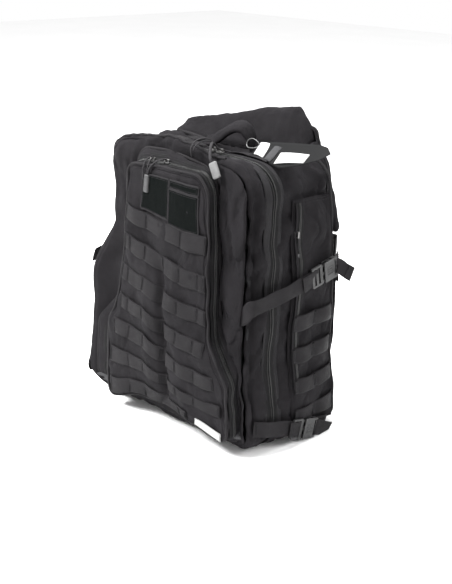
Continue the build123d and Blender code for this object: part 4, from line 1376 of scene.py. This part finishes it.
def cover_y(x, z):
    """The front pocket's face, before the slump."""
    w = np.interp(z, [18, 140, 215, 420], [134, 137, 98, 84])
    u = np.clip(np.abs(x) / w, 0, 1)
    v = np.clip((z - 18) / 402, 0, 1)
    return -122.0 - 3.4 * np.clip(1 - u ** 4, 0, 1) * np.clip(1 - (2 * v - 1) ** 8, 0, 1)


# the front pocket's gusset, piping and zipper
B = make_tray(O_POCKET, -89.0, -106.7, 2, 9, face=False)


def gusset_shape(V):
    V = V.copy()
    n2 = normals2(O_POCKET)
    k = np.argmin(((V[:, None, [0, 2]] - O_POCKET[None, ::4]) ** 2).sum(-1), 1) * 4
    V[:, [0, 2]] += n2[k] * (1.6 * np.sin(np.clip((V[:, 1] + 106) / 15, 0, 1) * math.pi))[:, None]
    return V


soft("Lid.Pocket_Gusset", B, [NYLON, NYLON], "lid", ["front_pocket_gusset"], amp=0.5, fine=0.25, thick=1.8, lining=1, shape=gusset_shape, pin=lambda V: S(V[:, 1], -106, -102))
zipper("Lid.Pocket_Zip_Rear", O_POCKET, -107, 1, "lid", ["front_zip_rear_tape"], 30, out=0.3, width=8)
piping("Lid.Pocket_Base_Piping", O_POCKET, -93.5, 1.0, 1.9, "lid", wave=0.3)

B = make_tray(O_POCKET, -107.3, -122, 4.5, 7, bulge=lambda x, z, R: cover_y(x, z) + 122.0)
soft("Pocket.Cover", B, [NYLON, LINING], "front_pocket", ["front_pocket_cover"], amp=1.1, fine=0.4, pin=lambda V: S(V[:, 1], -107.3, -113), thick=1.9, lining=1)
zipper("Pocket.Zip_Front", O_POCKET, -107, -1, "front_pocket", ["front_zip_front_tape"], 30, out=0.3, phase=0.5, width=8)
piping("Pocket.Edge_Piping", O_POCKET, -120.5, -0.2, 2.0, "front_pocket", wave=0.3)


def on_cover(name, x0, x1, z0, z1, off, thick, mats, nodes, slot, nu=None, nv=None, corner=0.0, tilt=0.0, extra=None, mi=0):
    nu, nv = nu or max(8, int((x1 - x0) / 3)), nv or max(6, int((z1 - z0) / 3))
    Xg, Zg = np.meshgrid(np.linspace(x0, x1, nu), np.linspace(z0, z1, nv), indexing="ij")
    Zg = Zg + tilt * (Xg - (x0 + x1) / 2)
    F, UV = sheet_faces(nu, nv, np.linspace(0, x1 - x0, nu + 1), np.linspace(0, z1 - z0, nv + 1))
    B = Build(); B.add(np.stack([Xg, cover_y(Xg, Zg) - off, Zg], -1).reshape(-1, 3), F, UV, mi)
    return orient(B, toward((0, -1, 0)))


# seven rows of webbing, sewn down every inch and a half
ROW_HALF = [88, 92, 95, 100, 118, 128, 128]
B = Build()
for r, half in enumerate(ROW_HALF):
    zt = 352 - 50.8 * r
    xl, xr = -half + 1.5, (56 if r == 6 else half - 1.5)
    tacks = [xl + 2.5] + [t for t in np.arange(-114.3, 115, 38.1) if xl + 14 < t < xr - 14] + [xr - 2.5]
    nx = int((xr - xl) / 1.4)
    x = np.linspace(xl, xr, nx)
    i = np.clip(np.searchsorted(tacks, x) - 1, 0, len(tacks) - 2)
    ta, tb = np.take(tacks, i), np.take(tacks, i + 1)
    t = np.clip((x - ta) / (tb - ta), 0, 1)
    rr = np.random.RandomState(50 + r)
    puffs = rr.uniform(0.7, 1.25, len(tacks))
    bow = 1.9 * np.take(puffs, i) * np.abs(np.sin(math.pi * t)) ** 0.65 * np.clip((tb - ta) / 38, 0.4, 1)
    v = np.linspace(0, 1, 9)
    Xg, Vg = np.meshgrid(x, v, indexing="ij")
    sag = 0.7 * np.sin(math.pi * t) * (bow / 2.7)
    Zg = zt - 25.4 * (1 - Vg) - sag[:, None]
    lean = (bow * 0.25)[:, None] * (1 - 2 * Vg)
    Yg = cover_y(Xg, Zg) - 1.1 - bow[:, None] - lean
    F, UV = sheet_faces(nx, 9, np.append(x, x[-1]), np.append(v, 1) * 25.4)
    W = Build(); W.add(np.stack([Xg, Yg, Zg], -1).reshape(-1, 3), F, UV, 0)
    B = join(B, orient(W, toward((0, -1, 0))))
o = weld(B).to("Pocket.Webbing_Rows", [WEBBING], V=warp(B.verts()))
thicken(o, 1.5)
done(o, "front_pocket", ["front_webbing"])
B = Build()
for r, half in enumerate(ROW_HALF):
    zt = 352 - 50.8 * r
    xl, xr = -half + 1.5, (56 if r == 6 else half - 1.5)
    for t in [xl + 2.5] + [t for t in np.arange(-114.3, 115, 38.1) if xl + 14 < t < xr - 14] + [xr - 2.5]:
        for dx in (-1.2, 1.2):
            bartack(B, (t + dx, cover_y(t, zt - 12.7) - 1.3, zt - 12.7), Z3, X3, -Y3, 22, 1.1, 0)
    x = np.linspace(xl + 1, xr - 1, 60)
done(B.to("Pocket.Bar_Tacks", [THREAD], V=warp(B.verts())), "front_pocket", ())

# loop patches: pile with a bound, stitched edge
B = Build()
for x0, x1, z0, z1 in ((-47.5, 7.5, 357.5, 406.5), (10.5, 71.5, 352.5, 395.5), (10.5, 71.5, 398, 406.5)):
    B = join(B, on_cover("", x0, x1, z0, z1, 2.3, 0, None, None, None))
V = weld(B).verts()
V[:, 1] -= 0.25 * FINE(V * 2.2)
o = B.to("Pocket.Loop_Patches", [PILE], V=warp(V))
thicken(o, 1.7)
done(o, "front_pocket", ["loop_patches"])
B = Build()
for x0, x1, z0, z1 in ((-48, 8, 357, 407), (10, 72, 352, 396), (10, 72, 397.5, 407)):
    c = np.array([(x0, z0), (x1, z0), (x1, z1), (x0, z1), (x0, z0)], float)
    L = np.concatenate([[0], np.cumsum(np.linalg.norm(np.diff(c, axis=0), axis=1))])
    s = np.linspace(0, L[-1], int(L[-1] / 2.5))
    x, z = np.interp(s, L, c[:, 0]), np.interp(s, L, c[:, 1])
    P = np.stack([x, cover_y(x, z) - 1.7, z], 1)
    sweep(B, P, circle(1.1, 6, 1.3), -Y3, 0)
    cx, cz = (x0 + x1) / 2, (z0 + z1) / 2
    P2 = np.stack([cx + (x - cx) * (1 - 5.0 / (x1 - x0)), P[:, 1] - 1.0, cz + (z - cz) * (1 - 4.4 / (z1 - z0))], 1)
    stitches(B, P2, -Y3, pitch=3, length=2.1, m=1)
done(B.to("Pocket.Patch_Binding", [BINDING, THREAD], V=warp(B.verts())), "front_pocket", ())

# the blank woven label, and its stitching
B = on_cover("", 75, 127, 22, 40, 2.2, 0, None, None, None, tilt=-0.02)
o = B.to("Pocket.Blank_Label", [LABEL], V=warp(B.verts()))
thicken(o, 0.7)
done(o, "front_pocket", ["woven_label"])
B = Build()
c = np.array([(76.2, 23), (125.8, 23), (125.8, 39), (76.2, 39), (76.2, 23)], float)
L = np.concatenate([[0], np.cumsum(np.linalg.norm(np.diff(c, axis=0), axis=1))])
s = np.linspace(0, L[-1], 80)
x, z = np.interp(s, L, c[:, 0]), np.interp(s, L, c[:, 1])
z = z - 0.02 * (x - 101)
stitches(B, np.stack([x, cover_y(x, z) - 2.5, z], 1), -Y3, pitch=3.2, length=2.2, m=0)
done(B.to("Pocket.Label_Stitching", [BINDING], V=warp(B.verts())), "front_pocket", ())

# ================================================================== inside pieces
def flat_panel(name, x0, x1, z0, z1, y, bulge, body, nodes, mat, slot, sgn, sheet_flat=None, thick=1.2):
    nu, nv = 36, 30
    Xg, Zg = np.meshgrid(np.linspace(x0, x1, nu), np.linspace(z0, z1, nv), indexing="ij")
    u, v = (Xg - x0) / (x1 - x0), (Zg - z0) / (z1 - z0)
    Yg = y + sgn * bulge * (1 - (2 * u - 1) ** 4) * (0.35 + 0.65 * v) * S(v, 0, .3)
    F, UV = sheet_faces(nu, nv, np.linspace(0, x1 - x0, nu + 1), np.linspace(0, z1 - z0, nv + 1))
    B = Build(); B.add(np.stack([Xg, Yg, Zg], -1).reshape(-1, 3), F, UV, 0)
    return orient(B, toward((0, sgn, 0)))


# the stiff sheet in the sleeve, bent with the back
lo, hi = (np.array(c) * 1000 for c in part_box("frame_sheet"))
B = flat_panel("", lo[0], hi[0], lo[2], hi[2], (lo[1] + hi[1]) / 2, 0.0, "pack", None, None, None, 1)
V = B.verts()
c_, h_, r_ = (lo + hi) / 2, (hi - lo) / 2, 22.0
dx_, dz_ = np.abs(V[:, 0] - c_[0]) - (h_[0] - r_), np.abs(V[:, 2] - c_[2]) - (h_[2] - r_)
k_ = np.where((dx_ > 0) & (dz_ > 0), r_ * np.maximum(dx_, dz_) / np.maximum(np.hypot(dx_, dz_), 1e-6) / r_, 1.0)
V[:, 0] = np.where(k_ < 1, c_[0] + np.sign(V[:, 0] - c_[0]) * (h_[0] - r_ + dx_ * k_), V[:, 0])
V[:, 2] = np.where(k_ < 1, c_[2] + np.sign(V[:, 2] - c_[2]) * (h_[2] - r_ + dz_ * k_), V[:, 2])
o = B.to("Pack.Frame_Sheet", [SHEETM], V=warp(V)); thicken(o, float(hi[1] - lo[1]))
done(o, "pack", ["frame_sheet"])

B = flat_panel("", -125, 125, 25, 255, 85.5, 2.2, "pack", None, None, None, -1)
V = crumple(B.verts(), B.F, 0.4, 0.1)
o = B.to("Pack.Slip_Pocket", [LINING], V=warp(V)); thicken(o, 1.0)
done(o, "pack", ["inner_slip_pocket"])
B = Build()
ribbon(B, np.stack([np.linspace(-125, 125, 60), 85.2 - 2.3 * (1 - (np.linspace(-1, 1, 60)) ** 4), np.full(60, 252.0)], 1), -Y3, 8, 1.4)
done(B.to("Pack.Slip_Pocket_Binding", [BINDING], V=warp(B.verts())), "pack", ())
B = Build()
for k, zc in enumerate((330, 150)):
    b = flat_panel("", -135, 135, zc - 75, zc + 75, -83.6, 1.6, "lid", None, None, None, 1)
    o = b.to(f"Lid.Mesh_Pocket_{k + 1}", [MESH], V=warp(b.verts())); thicken(o, 0.9)
    done(o, "lid", ["lid_mesh_pockets"])
    ribbon(B, np.stack([np.linspace(-135, 135, 60), -83.2 + 1.7 * (1 - (np.linspace(-1, 1, 60)) ** 4), np.full(60, zc + 74.0)], 1), Y3, 8, 1.6)
    Q = np.stack([np.linspace(-133, 133, 60), np.full(60, -82.8), np.full(60, zc - 72.0)], 1)
    stitches(B, Q, Y3, m=1)
done(B.to("Lid.Mesh_Pocket_Binding", [BINDING, THREAD], V=warp(B.verts())), "lid", ())

V, F = cad_mesh("organizer_panel")
o = raw("Lid.Organizer_Panel", V - Y3 * 4.2, F, [LINING])
o.data.set_sharp_from_angle(angle=math.radians(35))
V = co(o)
set_co(o, warp(V, 0.0) * np.array([1, 0, 1]) + V * np.array([0, 1, 0]))
bevel(o, 0.3, 2)
done(o, "lid", ["organizer_panel"])

# ================================================================== compression straps
TAN_U, TAN_L = math.tan(math.radians(11)), math.tan(math.radians(-14))
for left in (False, True):
    nm = "Left" if left else "Right"
    sd, sg = nm.lower(), -1 if left else 1
    fl = (lambda V: mirror(V)) if left else (lambda V: V)
    zu = lambda y: 240 + (y + 92) * TAN_U
    pts = [(112, -97.2, 226), (128, -98.2, 229), (144, -98.2, 233), (155, -96.0, 238), (161.5, -88, 241.5), (164.2, -76, 243.5), (166.5, -50, zu(-50)), (168.3, -20, zu(-20)), (169.2, 10, zu(10)), (168.6, 34, zu(34)), (168.2, 48, zu(48))]
    if left:
        pts = pts[4:]
    P = spline(np.array(pts), 2.5)
    up = np.array([[0, -1, 0.0]] * len(P))
    a = S(P[:, 0], 152, 163) * S(P[:, 1], -97.5, -84)
    up = np.stack([a, -(1 - a), np.zeros(len(P))], 1)
    up /= np.linalg.norm(up, axis=1)[:, None]
    B = Build()
    ribbon(B, P, up, 24.8, 1.5)
    # box stitch on the sewn end
    for dz in (-9, 9):
        q = P[2:9].copy(); q[:, 2] += dz
        stitches(B, q + up[2:9] * 0.85, up[2:9], m=1)
    for q in (2, 8):
        bartack(B, P[q] + up[q] * 0.8, Z3, X3, -Y3, 19, 2.0, 1)
    # turned-back end at the tongue
    Q = spline(np.array([(168.6, 36, zu(36)), (171.6, 40, zu(40) + .5), (172.2, 34, zu(34)), (172.3, 18, zu(18)), (172.0, 2, zu(2) - 1)]), 2.0)
    ribbon(B, Q, X3, 24.2, 1.4)
    V = fl(B.verts())
    if left:
        for k_, f in enumerate(B.F): B.F[k_] = f[::-1]
    done(B.to(f"Strap_{nm}.Upper_Webbing", [WEBBING, THREAD], V=warp(V)), ("lid", f"upper_tongue_{sd}"), [f"upper_strap_{sd}"])
    zl = lambda y: 50 + (y + 92) * TAN_L
    P = spline(np.array([(158.5, -88, zl(-88)), (161.5, -78, zl(-78)), (165.5, -62, zl(-62)), (167.8, -44, zl(-44)), (168.6, -20, zl(-20)), (168.3, 8, zl(8))]), 2.5)
    B = Build()
    ribbon(B, P, X3, 24.8, 1.5)
    bartack(B, P[2] + X3 * 0.9, Z3, Y3, X3, 19, 2.4, 1)
    Q = spline(np.array([(168.6, -4, zl(-4)), (171.8, 0, zl(0)), (172.3, -6, zl(-6)), (172.2, -26, zl(-26) - 1)]), 2.0)
    ribbon(B, Q, X3, 24.2, 1.4)
    V = fl(B.verts())
    if left:
        for k_, f in enumerate(B.F): B.F[k_] = f[::-1]
    done(B.to(f"Strap_{nm}.Lower_Webbing", [WEBBING, THREAD], V=warp(V)), ("lid", f"lower_tongue_{sd}"), [f"lower_strap_{sd}"])
    for u_, (z0_, tn, y0_) in {"upper": (240, TAN_U, 26), "lower": (50, TAN_L, -14)}.items():
        c0 = np.array([sg * 170.0, y0_ + 22.0, z0_ + (y0_ + 22 + 92) * tn])
        sh = warp(c0[None])[0] - c0
        rigid(f"Strap_{nm}.{u_.capitalize()}_Tongue", f"{u_}_tongue_{sd}", f"{u_}_tongue_{sd}", POLY, 0.45, shift=sh)

# sockets: the CAD's four in one piece, with pad ribs added
V, F = cad_mesh("buckle_sockets")
out = V.copy()
for sg in (-1, 1):
    for z0_, tn, y0_ in ((240, TAN_U, 26), (50, TAN_L, -14)):
        c0 = np.array([sg * 170.0, y0_ + 22.0, z0_ + (y0_ + 22 + 92) * tn])
        sh = warp(c0[None])[0] - c0
        m_ = (np.sign(V[:, 0]) == sg) & (np.abs(V[:, 2] - c0[2]) < 60)
        out[m_] = V[m_] + sh
o = raw("Pack.Buckle_Sockets", out, F, [POLY])
o.data.set_sharp_from_angle(angle=math.radians(32))
bevel(o, 0.5, 2, 32)
done(o, "pack", ["buckle_sockets"])
B = Build()
for sg in (-1, 1):
    for z0_, tn, y0_ in ((240, TAN_U, 26), (50, TAN_L, -14)):
        c0 = np.array([sg * 170.0, y0_ + 22.0, z0_ + (y0_ + 22 + 92) * tn])
        sh = warp(c0[None])[0] - c0
        an = math.atan(tn)
        ya, za = np.array([0, math.cos(an), math.sin(an)]), np.array([0, -math.sin(an), math.cos(an)])
        o0 = np.array([sg * 0.0, -92, z0_])
        for q in (-6, -2, 2, 6):
            c = np.array([sg * 174.9, 0, 0]) + o0 + ya * (y0_ + 40 + 92) + za * q + sh
            rbox(B, c, X3, ya, za, 0.9, 13, 1.5, 0.4, 0, 2)
done(B.to("Pack.Buckle_Grip_Ribs", [POLY]), "pack", ())

# the rear halves of the straps, sewn into the back seam, and their loose tails
B = Build()
for sg in (-1, 1):
    for u_, (z0_, tn, y0_, ye) in {"upper": (240, TAN_U, 26, 104), "lower": (50, TAN_L, -14, 74)}.items():
        zf = lambda y: z0_ + (y + 92) * tn
        W = Build()
        P = spline(np.array([(168.2, y0_ + 44, zf(y0_ + 44)), (167.0, y0_ + 56, zf(y0_ + 56)), (164.8, y0_ + 70, zf(y0_ + 70)), (163.0, ye - 6, zf(ye - 6)), (160.0, ye, zf(ye))]), 2.0)
        ribbon(W, P, X3, 24.8, 1.5)
        bartack(W, P[-5] + X3 * 1.0, Z3, Y3, X3, 19, 2.4, 1)
        if u_ == "upper":
            Q = spline(np.array([(168.6, y0_ + 44, zf(y0_ + 44)), (172.6, y0_ + 50, zf(y0_ + 50)), (176.6, y0_ + 52, zf(y0_ + 52) + 1), (179.5, y0_ + 58, zf(y0_ + 58) - 4), (182.5, y0_ + 65, zf(y0_ + 65) - 11), (188, y0_ + 73, zf(y0_ + 73) - 19)]), 2.0)
            upq = np.stack([np.full(len(Q), 1.0), np.linspace(0, -0.45, len(Q)), np.linspace(0, 0.35, len(Q))], 1)
            ribbon(W, Q, upq, 24.4, 1.4)
            ribbon(W, Q[-6:] + X3 * 1.5, upq[-6:], 24.4, 1.4)
        else:
            Q = spline(np.array([(168.6, y0_ + 44, zf(y0_ + 44)), (172.6, y0_ + 50, zf(y0_ + 50)), (176.0, y0_ + 52, zf(y0_ + 52)), (175.5, y0_ + 66, zf(y0_ + 66) - 3), (173.5, y0_ + 84, zf(y0_ + 84) - 8)]), 2.0)
            ribbon(W, Q, X3, 24.4, 1.4)
        V = W.verts()
        if sg < 0:
            W.V = [mirror(V)]
            W.F = [f[::-1] for f in W.F]
        B = join(B, W)
done(B.to("Pack.Rear_Strap_Webbing", [WEBBING, THREAD], V=warp(B.verts())), "pack", ["rear_strap_anchors"])

# light folded tabs at the foot of the main zipper
B = Build()
for sg in (-1, 1):
    P = spline(np.array([(136, -100.0, 27), (135, -101.5, 31), (134.5, -100.5, 36), (134.5, -95, 40)]), 1.2); P[:, 0] = sg * (P[:, 0] + 1.5)
    ribbon(B, P, -Y3 + 0.3 * X3 * sg, 12, 1.2)
done(B.to("Lid.Zip_End_Tabs", [LIGHTWEB], V=warp(B.verts())), "lid", ["zipper_end_tabs"])

# ================================================================== sliders, cords, tags
def slider(name, node, body, at):
    return rigid(name, node, body, METAL, 0.3)


FZ, MZ = 422.9, 444.9
for node in ("front_slider_left", "front_slider_right", "main_slider_left", "main_slider_right", "side_slider_left", "side_slider_right"):
    a, s_, d = node.split("_")
    rigid(f"Slider.{a.capitalize()}_{d.capitalize()}", node, node, METAL, 0.3)


def pull(name, node, body, pts, r=1.25, tab=None, tabmat=None, loop=0.0):
    """A braided cord, doubled through the slider, with a moulded grip at its end."""
    B = Build()
    P = spline(np.array(pts, float), 1.2)
    t = np.gradient(P, axis=0); t /= np.linalg.norm(t, axis=1)[:, None]
    ref = np.cross(t, np.array([0.3, -0.2, 1.0])); ref /= np.linalg.norm(ref, axis=1)[:, None]
    if loop:
        w = loop * np.sin(np.linspace(0, math.pi, len(P))) ** 0.6
        A, C = P + ref * w[:, None], P - ref * w[:, None]
        path = spline(np.vstack([A, C[::-1][1:]])[::2], 1.2)
        P = path
        sweep(B, path, circle(r, 8), Y3 * 0.2 + X3 * 0.9, 0)
    else:
        sweep(B, P, circle(r, 8), Y3 * 0.2 + X3 * 0.9, 0)
    if tab is not None:
        c, ax, ay, L, W, T = tab
        ax = np.asarray(ax, float) / np.linalg.norm(ax)
        ay = np.asarray(ay, float) - ax * np.dot(ax, ay); ay /= np.linalg.norm(ay)
        az = np.cross(ax, ay)
        G = Build()
        rbox(G, c, ax, ay, az, L, W, T, T * 0.42, 0, 3)
        for q in (-0.24, -0.08, 0.08, 0.24):
            for sgn in (-1, 1):
                rbox(G, np.asarray(c) + ax * L * q + az * sgn * T * 0.5, ax, ay, az, 1.2, W * 0.62, 0.8, 0.35, 0, 2)
    o = B.to(name, [CORD])
    done(o, body, [node])
    grips = [done(G.to(name + "_Grip", [tabmat or TAB_DARK]), body, ())] if tab is not None else []
    return o


def wp(*p):
    return warp(np.array([p], float))[0]


def thr(p):
    return np.asarray(p, float)


a0 = wp(-18, -107, FZ + 4.6)
b0 = wp(-46, -107, FZ + 4.6)
pull("Pull.Front_Right", "front_pull_right", "front_pull_right", [a0 + (0, 2, .4), a0 + (-1, -3, 1.5), a0 + (-8, -12, -1), a0 + (-16, -19, -10), a0 + (-20, -20.5, -21)], r=1.3, tab=(a0 + (-21.5, -21.5, -36), (0.06, 0.03, 1), (1, 0, 0), 27, 9.5, 4.6), tabmat=TAB_DARK)
pull("Pull.Front_Left", "front_pull_left", "front_pull_left", [b0 + (0, 2, .4), b0 + (1, -4, 2), b0 + (3, -14, -3), b0 + (4, -19, -14), b0 + (3, -20, -30)], r=1.1, loop=3.4)
c0 = wp(28, -48, MZ + 4.6)
d0 = wp(46, -48, MZ + 4.6)
e0 = wp(74, -96, 441)
pull("Pull.Main_Left", "main_pull_left", "main_pull_left", [c0 + (0, 1.5, .3), c0 + (3, -5, 3), c0 * .62 + e0 * .38 + (0, 0, 11), c0 * .25 + e0 * .75 + (0, -2, 9), e0 + (3, -5, -2), e0 + (8, -6.5, -9)], r=2.3, tab=(e0 + (16, -8, -18), (0.55, -.04, -1), (1, 0, .5), 24, 14, 5.4), tabmat=TAB_GREY)
f0 = wp(46, -96, 448)
pull("Pull.Main_Right", "main_pull_right", "main_pull_right", [d0 + (0, 1.5, .3), d0 + (-1, -5, 3), d0 * .6 + f0 * .4 + (-2, 0, 10), d0 * .2 + f0 * .8 + (-3, -2, 7), f0 + (-4, -6, -4), f0 + (-5, -6.5, -18)], r=1.1, loop=3.6)
for sg, sd in ((1, "right"), (-1, "left")):
    g0 = wp(sg * 163.0, 0, 335)
    V, F = cad_mesh(f"side_slider_{sd}")
    pull(f"Pull.Side_{sd.capitalize()}", f"side_pull_{sd}", f"side_pull_{sd}", [g0 + (0, 0, 1), g0 + (sg * 1.6, 0.6, -4), g0 + (sg * 1.8, 1.5, -15), g0 + (sg * 1.6, 2.8, -28)], r=1.15, tab=(g0 + (sg * 1.9, 3.6, -39), (0, -.07, 1), (0, 1, .07), 21, 9.5, 4.4), tabmat=TAB_DARK)

# hang tags: two blank cards on a plastic loop
def card(B, corners, thick, m, bend=0.0, hole=None):
    A, Bc, C, D = (np.array(c, float) for c in corners)      # TL, TR, BR, BL
    nu, nv = 24, 10
    V = []
    nrm = np.cross(Bc - A, D - A); nrm /= np.linalg.norm(nrm)
    for i in range(nu):
        for j in range(nv):
            u, v = i / (nu - 1), j / (nv - 1)
            p = (A * (1 - u) + Bc * u) * (1 - v) + (D * (1 - u) + C * u) * v
            V.append(p + nrm * bend * math.sin(u * math.pi))
    F, UV = sheet_faces(nu, nv, np.linspace(0, np.linalg.norm(Bc - A), nu + 1), np.linspace(0, np.linalg.norm(D - A), nv + 1))
    W = Build(); W.add(V, F, UV, m)
    return join(B, orient(W, toward((0.1, -0.5, 1))))


def card_shape(B, top, bot, m, lift=0.0, nu=36, nv=10):
    """A card between two edge lines, left to right."""
    T, D = (np.array(q, float) for q in (top, bot))
    def at(Q, n_):
        L = np.concatenate([[0], np.cumsum(np.linalg.norm(np.diff(Q, axis=0), axis=1))])
        w = np.linspace(0, L[-1], n_)
        return np.stack([np.interp(w, L, Q[:, c]) for c in range(3)], 1)
    T, D = at(T, nu), at(D, nu)
    v = np.linspace(0, 1, nv)[None, :, None]
    V = T[:, None] * (1 - v) + D[:, None] * v
    n_ = np.cross(T[-2] - T[0], D[nu // 2] - T[nu // 2]); n_ /= np.linalg.norm(n_)
    if n_[1] > 0:
        n_ = -n_
    V = V + n_ * (lift + 1.6 * np.sin(np.linspace(0, math.pi, nu)))[:, None, None]
    F, UV = sheet_faces(nu, nv, np.linspace(0, 120, nu + 1), np.linspace(0, 46, nv + 1))
    W = Build(); W.add(V.reshape(-1, 3), F, UV, m)
    return join(B, orient(W, toward(n_)))


B = card_shape(Build(), ((73.5, 4, 457.5), (192, 0, 472), (207, -2, 471), (216, -7, 464.5)), ((80.6, -22, 443), (143, -30, 433.5), (174, -26, 442), (205, -18, 455), (216, -7, 464.5)), 0)
o = B.to("Tag.Blank_Card_Large", [CARD_DARK]); thicken(o, 0.6)
done(o, "hang_tag", ["hang_tag_cards"])
B = card_shape(Build(), ((77, 2.4, 455.8), (99, 0.8, 457.6)), ((85, -20.5, 443.6), (105, -22.6, 441.6)), 0, 1.3, 10, 6)
o = B.to("Tag.White_Panel", [CARD]); thicken(o, 0.4)
done(o, "hang_tag", ())
B = card_shape(Build(), ((130, -11, 451), (184, -11.5, 457.2)), ((130, -26, 437), (182, -22.5, 446.6)), 0, 2.4, 12, 6)
o = B.to("Tag.Blank_Card_Small", [CARD]); thicken(o, 0.5)
done(o, "hang_tag", ())
B = card_shape(Build(), ((110, -3, 456.5), (126, -4.4, 457)), ((108, -22.5, 440.6), (122, -26, 438)), 0, 1.9, 8, 6)
o = B.to("Tag.Grey_Panel", [LIGHTWEB]); thicken(o, 0.4)
done(o, "hang_tag", ())
B = Build()
P = spline(np.array([(80, -4, 455), (74, -4, 460), (66, -4, 462), (58, -4, 459), (55, -5, 452.5), (60, -8, 449), (68, -9.5, 449), (77, -7, 451)]), 1.5, closed=True)
sweep(B, P, circle(0.7, 6), -Y3 + Z3, 0, closed=True)
done(B.to("Tag.Plastic_Loop", [LOOP]), "hang_tag", ["hang_tag_loop"])

# ================================================================== floor, light, camera
sc = bpy.context.scene
for c in list(bpy.data.collections):
    pass
me = bpy.data.meshes.new("Studio_Floor")
g = np.linspace(-6, 6, 49)
FV = [(x, y, 0.0) for x in g for y in g]
FF = [(i * 49 + j, (i + 1) * 49 + j, (i + 1) * 49 + j + 1, i * 49 + j + 1) for i in range(48) for j in range(48)]
me.from_pydata(FV, [], FF)
floor = bpy.data.objects.new("Studio_Floor", me)
sc.collection.objects.link(floor)
fm = Mat("Studio.Paper")
fm.color(fm.scale((0.90, 0.90, 0.90), fm.ramp(fm.noise(3.0), 0.3, 0.7, 0.99, 1.01))).rough(0.9)
fm.set(Specular_IOR_Level=0.1)
me.materials.append(fm.m)

world = bpy.data.worlds.new("Studio_World")
sc.world = world
world.use_nodes = True
bg = world.node_tree.nodes["Background"]
bg.inputs[0].default_value = (1, 1, 1, 1)
bg.inputs[1].default_value = 1.0


def area(name, loc, target, size, power, size_y=None):
    L = bpy.data.lights.new(name, "AREA")
    L.energy = power; L.size = size
    if size_y:
        L.shape = "RECTANGLE"; L.size_y = size_y
    o = bpy.data.objects.new(name, L)
    o.location = loc
    o.rotation_mode = "QUATERNION"
    o.rotation_quaternion = (Vector(target) - Vector(loc)).to_track_quat("-Z", "Y")
    sc.collection.objects.link(o)
    return o


area("Key_Softbox", (-1.0, -1.7, 2.1), (0, 0, 0.22), 0.8, 175)
area("Top_Softbox", (-0.2, 0.0, 2.4), (0, 0, 0.3), 0.9, 120)
area("Rear_Right_Softbox", (2.1, 1.0, 1.6), (0.1, 0, 0.2), 0.9, 40)

az, el, rl = math.radians(44.53), math.radians(18.70), math.radians(1.484)
right0 = np.array([math.cos(az), math.sin(az), 0.0])
back = np.array([math.sin(az) * math.cos(el), -math.cos(az) * math.cos(el), math.sin(el)])
up0 = np.cross(back, right0)
Rv = math.cos(rl) * right0 + math.sin(rl) * up0
Uv = -math.sin(rl) * right0 + math.cos(rl) * up0
T0 = np.array([0, 0, 0.240])
loc = T0 + back * 1.610
cam = bpy.data.cameras.new("Photo_Camera")
cam.sensor_width = 36.0
cam.lens = 1011.0 / 584.0 * 36.0
cam.shift_x, cam.shift_y = 0.0113, -0.0385
cam.clip_start, cam.clip_end = 0.05, 50
co_ = bpy.data.objects.new("Photo_Camera", cam)
co_.matrix_world = Matrix([[Rv[i], Uv[i], back[i], loc[i]] for i in range(3)] + [[0, 0, 0, 1]])
sc.collection.objects.link(co_)
sc.camera = co_
sc.view_settings.view_transform = "Standard"
sc.view_settings.look = "None"
